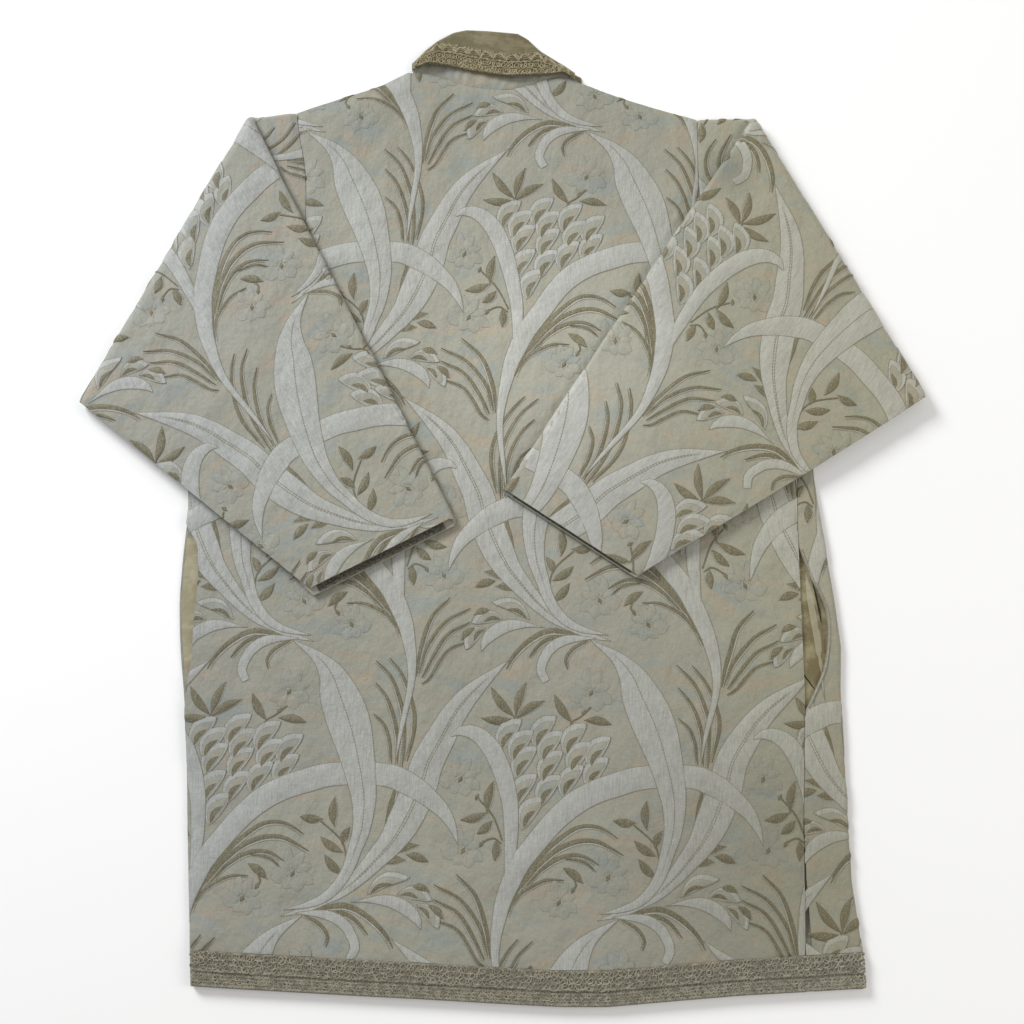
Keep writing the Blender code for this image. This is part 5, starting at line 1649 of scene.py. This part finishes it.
def strip_finish(name, body, deep, thread, wide, specks=None, ground=None):
    """A woven strip: its colour with drawn-out threads, its stitched outline and its midribs."""
    finish = Finish(name, 0.5, 0.25)
    cloth = finish.cloth()
    grain = threads(finish, cloth)
    across, half, along = finish.strip()
    lines = finish.noise(finish.stretched(cloth, 1.3, 16.0), 2.0)
    if ground:
        under = ground_colour(finish, cloth, ground)
        colour = finish.mix(finish.step(lines, 0.35, 0.7, 0.1, 0.5), under, body)
    else:
        colour = finish.mix(finish.step(lines, 0.35, 0.7), body, deep)
    if specks:
        dots = finish.noise(finish.stretched(cloth, 1.1, 1.5), 1.0)
        colour = finish.mix(finish.step(dots, 0.5, 0.68, 0.0, 0.75), colour, specks)
    # painted light and shade over the strip's colour
    colour = painted_light(finish, grainy(finish, colour, grain))
    edge = finish.sum("SUBTRACT", half, finish.sum("ABSOLUTE", across))
    colour = outlined(finish, colour, edge, along, thread, wide)
    share = finish.sum("DIVIDE", across, half)
    ribs = finish.put("ShaderNodeAttribute", attribute_name="rib").outputs["Fac"]
    wide_enough = finish.step(half, 4.0, 8.0)
    for count, places in enumerate(RIB_PLACES, 1):
        has = finish.sum("MULTIPLY", finish.sum("COMPARE", ribs, float(count), 0.4), wide_enough)
        for place in places:
            off = finish.sum("MULTIPLY", finish.sum("ABSOLUTE", finish.sum("SUBTRACT", share, place)), half)
            rib = finish.sum("MULTIPLY", finish.step(off, 0.75, 0.3), has)
            dashes = finish.step(finish.ripple(along, 3.1), 0.1, 0.5, 0.35, 0.85)
            colour = finish.mix(finish.sum("MULTIPLY", rib, dashes), colour, thread)
    finish.finish(colour, wrinkles(finish, grain), STRIP_WRINKLES)


def ribbon_finish(name, colour, deep):
    finish = Finish(name, 0.55, 0.2)
    place = finish.solid()
    knots = finish.put("ShaderNodeTexVoronoi", {"Vector": place, "Scale": 0.55}).outputs["Distance"]
    mottle = finish.noise(finish.stretched(place, 2.2, 2.2), 3.0)
    tone = finish.mix(finish.step(mottle, 0.35, 0.65), deep, colour)
    finish.finish(tone, finish.sum("ADD", knots, mottle), 0.8)


def cord_finish(name, light, middle, edge_shade):
    finish = Finish(name, 0.45, 0.15, 0.5)
    across, half, along = finish.strip()
    twist = finish.ripple(finish.sum("MULTIPLY_ADD", across, 1.4, along), 1.5)
    tone = finish.noise(finish.stretched(finish.solid(), 4.0, 4.0), 3.0)
    colour = finish.mix(finish.step(tone, 0.38, 0.62), middle, light)
    # painted shade: each cord is painted darker towards its edges
    edge = finish.sum("SUBTRACT", 1.0, finish.sum("ABSOLUTE", finish.sum("DIVIDE", across, half)))
    colour = finish.mix(finish.step(edge, 0.45, 0.0, 0.0, 0.85), colour, edge_shade)
    finish.finish(grainy(finish, colour, twist, 0.8, 1.12), twist, 0.25)


def satin_finish(name, colour, deep, streaks=0.3):
    finish = Finish(name, 0.42, 0.35, 0.45)
    cloth = finish.cloth()
    rib = finish.ripple(finish.split(cloth)[1], THREAD)
    streak = finish.noise(finish.stretched(cloth, 18.0, 1.2), 3.0)
    mottle = finish.noise(finish.stretched(finish.solid(), 16.0, 16.0), 3.0)
    uneven = finish.sum("MULTIPLY_ADD", streak, streaks, finish.sum("MULTIPLY", mottle, 1 - streaks))
    tone = finish.mix(finish.step(uneven, 0.38, 0.62), deep, colour)
    height = finish.sum("MULTIPLY_ADD", rib, 0.03, mottle)
    finish.finish(grainy(finish, tone, streak, 1.0 - 0.16 * streaks, 1.0 + 0.12 * streaks), height, 1.2)


def floor_finish():
    finish = Finish("floor", 0.9)
    grain = finish.noise(finish.solid(), 2.0, 0.4)
    finish.finish(finish.mix(finish.sum("MULTIPLY", grain, 0.04), FLOOR, FLOOR_GRAIN), grain, 0.05)


KIND_FINISHES = ["woven_pale", "woven_olive", "woven_ghost", "woven_ground"]


def make_finishes(looks):
    """Writes every material, from the colours of the coat's settings."""
    ground, pale, olive = tuple(looks.ground), tuple(looks.pale), tuple(looks.olive)
    brocade_finish(ground)
    strip_finish("woven_pale", pale, PALE_DEEP, STITCH_AND_SHADE, 0.85)
    strip_finish("woven_olive", olive, OLIVE_DEEP, OLIVE_DEEP, 0.6, specks=OLIVE_LIGHT)
    strip_finish("woven_ghost", GHOST, GHOST, GREY_THREAD, 0.65, ground=ground)
    strip_finish("woven_ground", ground, PEACH, GREY_THREAD, 0.6, ground=ground)
    ribbon_finish("ribbon", BRAID_MIDDLE, RIBBON_DEEP)
    # the cuff braid, painted darker for the shade inside the cuff
    ribbon_finish("shaded_cuff_ribbon", CUFF_RIBBON_SHADED, CUFF_DEEP_SHADED)
    cord_finish("cord", tuple(looks.cord), BRAID_MIDDLE, BRAID_EDGE_SHADE)
    cord_finish("collar_cord", tuple(looks.collar_cord), COLLAR_MIDDLE, COLLAR_DEEP_AND_SHADE)
    ribbon_finish("collar_ribbon_weave", COLLAR_MIDDLE, COLLAR_DEEP_AND_SHADE)
    cord_finish("piping", PIPING_LIGHT, ground, STITCH_AND_SHADE)
    satin_finish("collar_satin", tuple(looks.satin), SATIN_DEEP)
    satin_finish("pocket_satin", POCKET_SATIN, POCKET_DEEP, 0.12)
    satin_finish("facing_satin", FACING, FACING_DEEP, 0.12)
    ribbon_finish("pocket_shadow", POCKET_SHADOW, POCKET_SHADOW)
    floor_finish()


# Camera: the photo looks at the laid coat from slightly below its hem's side
TILT = math.radians(10)
DISTANCE = 1.425
FOCAL = 52.73
AIM = (0.009, -0.0204, 0.005)
LIGHTS = (
    # name, place, size, power, colour
    ("key", (-2.0, 2.0, 1.8), 1.3, 95.0, (0.97, 0.99, 1.0)),
    ("fill", (1.9, -0.3, 1.6), 1.6, 16.0, (1.0, 0.95, 0.88)),
)
WORLD = (1.0, 1.0, 1.0, 1.0)
WORLD_STRENGTH = 0.44
SENSOR = 36.0
FLOOR_HALF = 4.0


def build_stage():
    mesh = bmesh.new()
    bmesh.ops.create_grid(mesh, x_segments=2, y_segments=2, size=FLOOR_HALF)
    data = bpy.data.meshes.new("floor")
    mesh.to_mesh(data)
    mesh.free()
    data.materials.append(bpy.data.materials["floor"])
    floor = bpy.data.objects.new("floor", data)
    bpy.context.scene.collection.objects.link(floor)
    camera_data = bpy.data.cameras.new("camera")
    camera_data.lens = FOCAL
    camera_data.sensor_width = SENSOR
    camera = bpy.data.objects.new("camera", camera_data)
    camera.location = (AIM[0], AIM[1] - DISTANCE * math.sin(TILT), AIM[2] + DISTANCE * math.cos(TILT))
    camera.rotation_euler = (TILT, 0.0, 0.0)
    bpy.context.scene.collection.objects.link(camera)
    bpy.context.scene.camera = camera
    for name, place, size, power, colour in LIGHTS:
        lamp = bpy.data.lights.new(name, "AREA")
        lamp.shape = "DISK"
        lamp.size = size
        lamp.energy = power
        lamp.color = colour
        light = bpy.data.objects.new(name, lamp)
        light.location = place
        aim = np.array(AIM) - place
        light.rotation_euler = (math.atan2(math.hypot(aim[0], aim[1]), -aim[2]), 0,
                                math.atan2(aim[1], aim[0]) - math.pi / 2)
        bpy.context.scene.collection.objects.link(light)
    world = bpy.data.worlds.new("studio")
    world.use_nodes = True
    world.node_tree.nodes["Background"].inputs[0].default_value = WORLD
    world.node_tree.nodes["Background"].inputs[1].default_value = WORLD_STRENGTH
    bpy.context.scene.world = world
    bpy.context.scene.view_settings.view_transform = "Standard"


def colour_setting(name, text, colour):
    return bpy.props.FloatVectorProperty(name=name, description=text, subtype="COLOR", size=4,
                                         min=0.0, max=1.0, default=colour)


class CoatSettings(bpy.types.PropertyGroup):
    cell: bpy.props.FloatProperty(
        name="Cell", description="Size of the cloth's grid where it shows", default=0.0045,
        min=0.002, unit="LENGTH")
    hidden_cell: bpy.props.FloatProperty(
        name="Hidden cell", description="Size of the cloth's grid on layers that lie below",
        default=0.009, min=0.004, unit="LENGTH")
    ground: colour_setting("Ground", "Colour of the cloth between its woven leaves", SAGE)
    pale: colour_setting("Pale leaves", "Colour of the broad woven leaves", PALE)
    olive: colour_setting("Olive leaves", "Colour of the small leaves, stems and buds", OLIVE)
    satin: colour_setting("Collar satin", "Colour of the collar's satin", SATIN)
    cord: colour_setting("Hem cord", "Lightest colour of the hem braid's cords", BRAID_LIGHT)
    collar_cord: colour_setting("Collar cord", "Lightest colour of the collar braid's cords", COLLAR_LIGHT)


SETTINGS = ("cell", "hidden_cell", "ground", "pale", "olive", "satin", "cord", "collar_cord")


class CoatStep:
    """What the coat's operators share."""
    bl_options = {"REGISTER", "UNDO"}

    def cells(self, context):
        settings = context.scene.coat
        return settings.cell / MM, settings.hidden_cell / MM


class COAT_OT_finishes(CoatStep, bpy.types.Operator):
    """Write the coat's materials"""
    bl_idname = "coat.finishes"
    bl_label = "Materials"

    def execute(self, context):
        make_finishes(context.scene.coat)
        return {"FINISHED"}


class COAT_OT_back(CoatStep, bpy.types.Operator):
    """Lay the back panel with its woven leaves"""
    bl_idname = "coat.back"
    bl_label = "Back"

    def execute(self, context):
        build_back(self.cells(context)[0])
        return {"FINISHED"}


class COAT_OT_fronts(CoatStep, bpy.types.Operator):
    """Lay the two fronts, with the strip that turns round the right side"""
    bl_idname = "coat.fronts"
    bl_label = "Fronts"

    def execute(self, context):
        cell, hidden = self.cells(context)
        build_front_left(hidden)
        build_front_right(cell, hidden)
        return {"FINISHED"}


class COAT_OT_sleeves(CoatStep, bpy.types.Operator):
    """Fold both sleeves across the back, with braid inside their cuffs"""
    bl_idname = "coat.sleeves"
    bl_label = "Sleeves"

    def execute(self, context):
        for name in DRAFTS:
            build_sleeve(name, self.cells(context)[0])
        build_cuffs()
        return {"FINISHED"}


class COAT_OT_collar(CoatStep, bpy.types.Operator):
    """Fold the collar over its stand, with its braid"""
    bl_idname = "coat.collar"
    bl_label = "Collar"

    def execute(self, context):
        build_collar()
        return {"FINISHED"}


class COAT_OT_hem(CoatStep, bpy.types.Operator):
    """Sew the braid round the hem"""
    bl_idname = "coat.hem"
    bl_label = "Hem braid"

    def execute(self, context):
        build_hem_braid(self.cells(context)[0])
        return {"FINISHED"}


class COAT_OT_pockets(CoatStep, bpy.types.Operator):
    """Lay the satin pockets in the side seams"""
    bl_idname = "coat.pockets"
    bl_label = "Pockets"

    def execute(self, context):
        build_pockets()
        return {"FINISHED"}


class COAT_OT_stage(CoatStep, bpy.types.Operator):
    """Set the floor, the light and the camera"""
    bl_idname = "coat.stage"
    bl_label = "Stage"

    def execute(self, context):
        build_stage()
        return {"FINISHED"}


STEPS = (COAT_OT_finishes, COAT_OT_back, COAT_OT_fronts, COAT_OT_sleeves, COAT_OT_collar, COAT_OT_hem,
         COAT_OT_pockets, COAT_OT_stage)


class COAT_PT_panel(bpy.types.Panel):
    """The coat's steps, in the order they are run"""
    bl_label = "Quilted coat"
    bl_idname = "COAT_PT_panel"
    bl_space_type = "VIEW_3D"
    bl_region_type = "UI"
    bl_category = "Coat"

    def draw(self, context):
        for name in SETTINGS:
            self.layout.prop(context.scene.coat, name)
        for step in STEPS:
            self.layout.operator(step.bl_idname)


CLASSES = (CoatSettings, *STEPS, COAT_PT_panel)


def register():
    for kind in CLASSES:
        bpy.utils.register_class(kind)
    bpy.types.Scene.coat = bpy.props.PointerProperty(type=CoatSettings)


def unregister():
    del bpy.types.Scene.coat
    for kind in reversed(CLASSES):
        bpy.utils.unregister_class(kind)


def main():
    register()
    bpy.ops.coat.finishes()
    bpy.ops.coat.back()
    bpy.ops.coat.fronts()
    bpy.ops.coat.sleeves()
    bpy.ops.coat.collar()
    bpy.ops.coat.hem()
    bpy.ops.coat.pockets()
    bpy.ops.coat.stage()


if __name__ == "__main__":
    main()
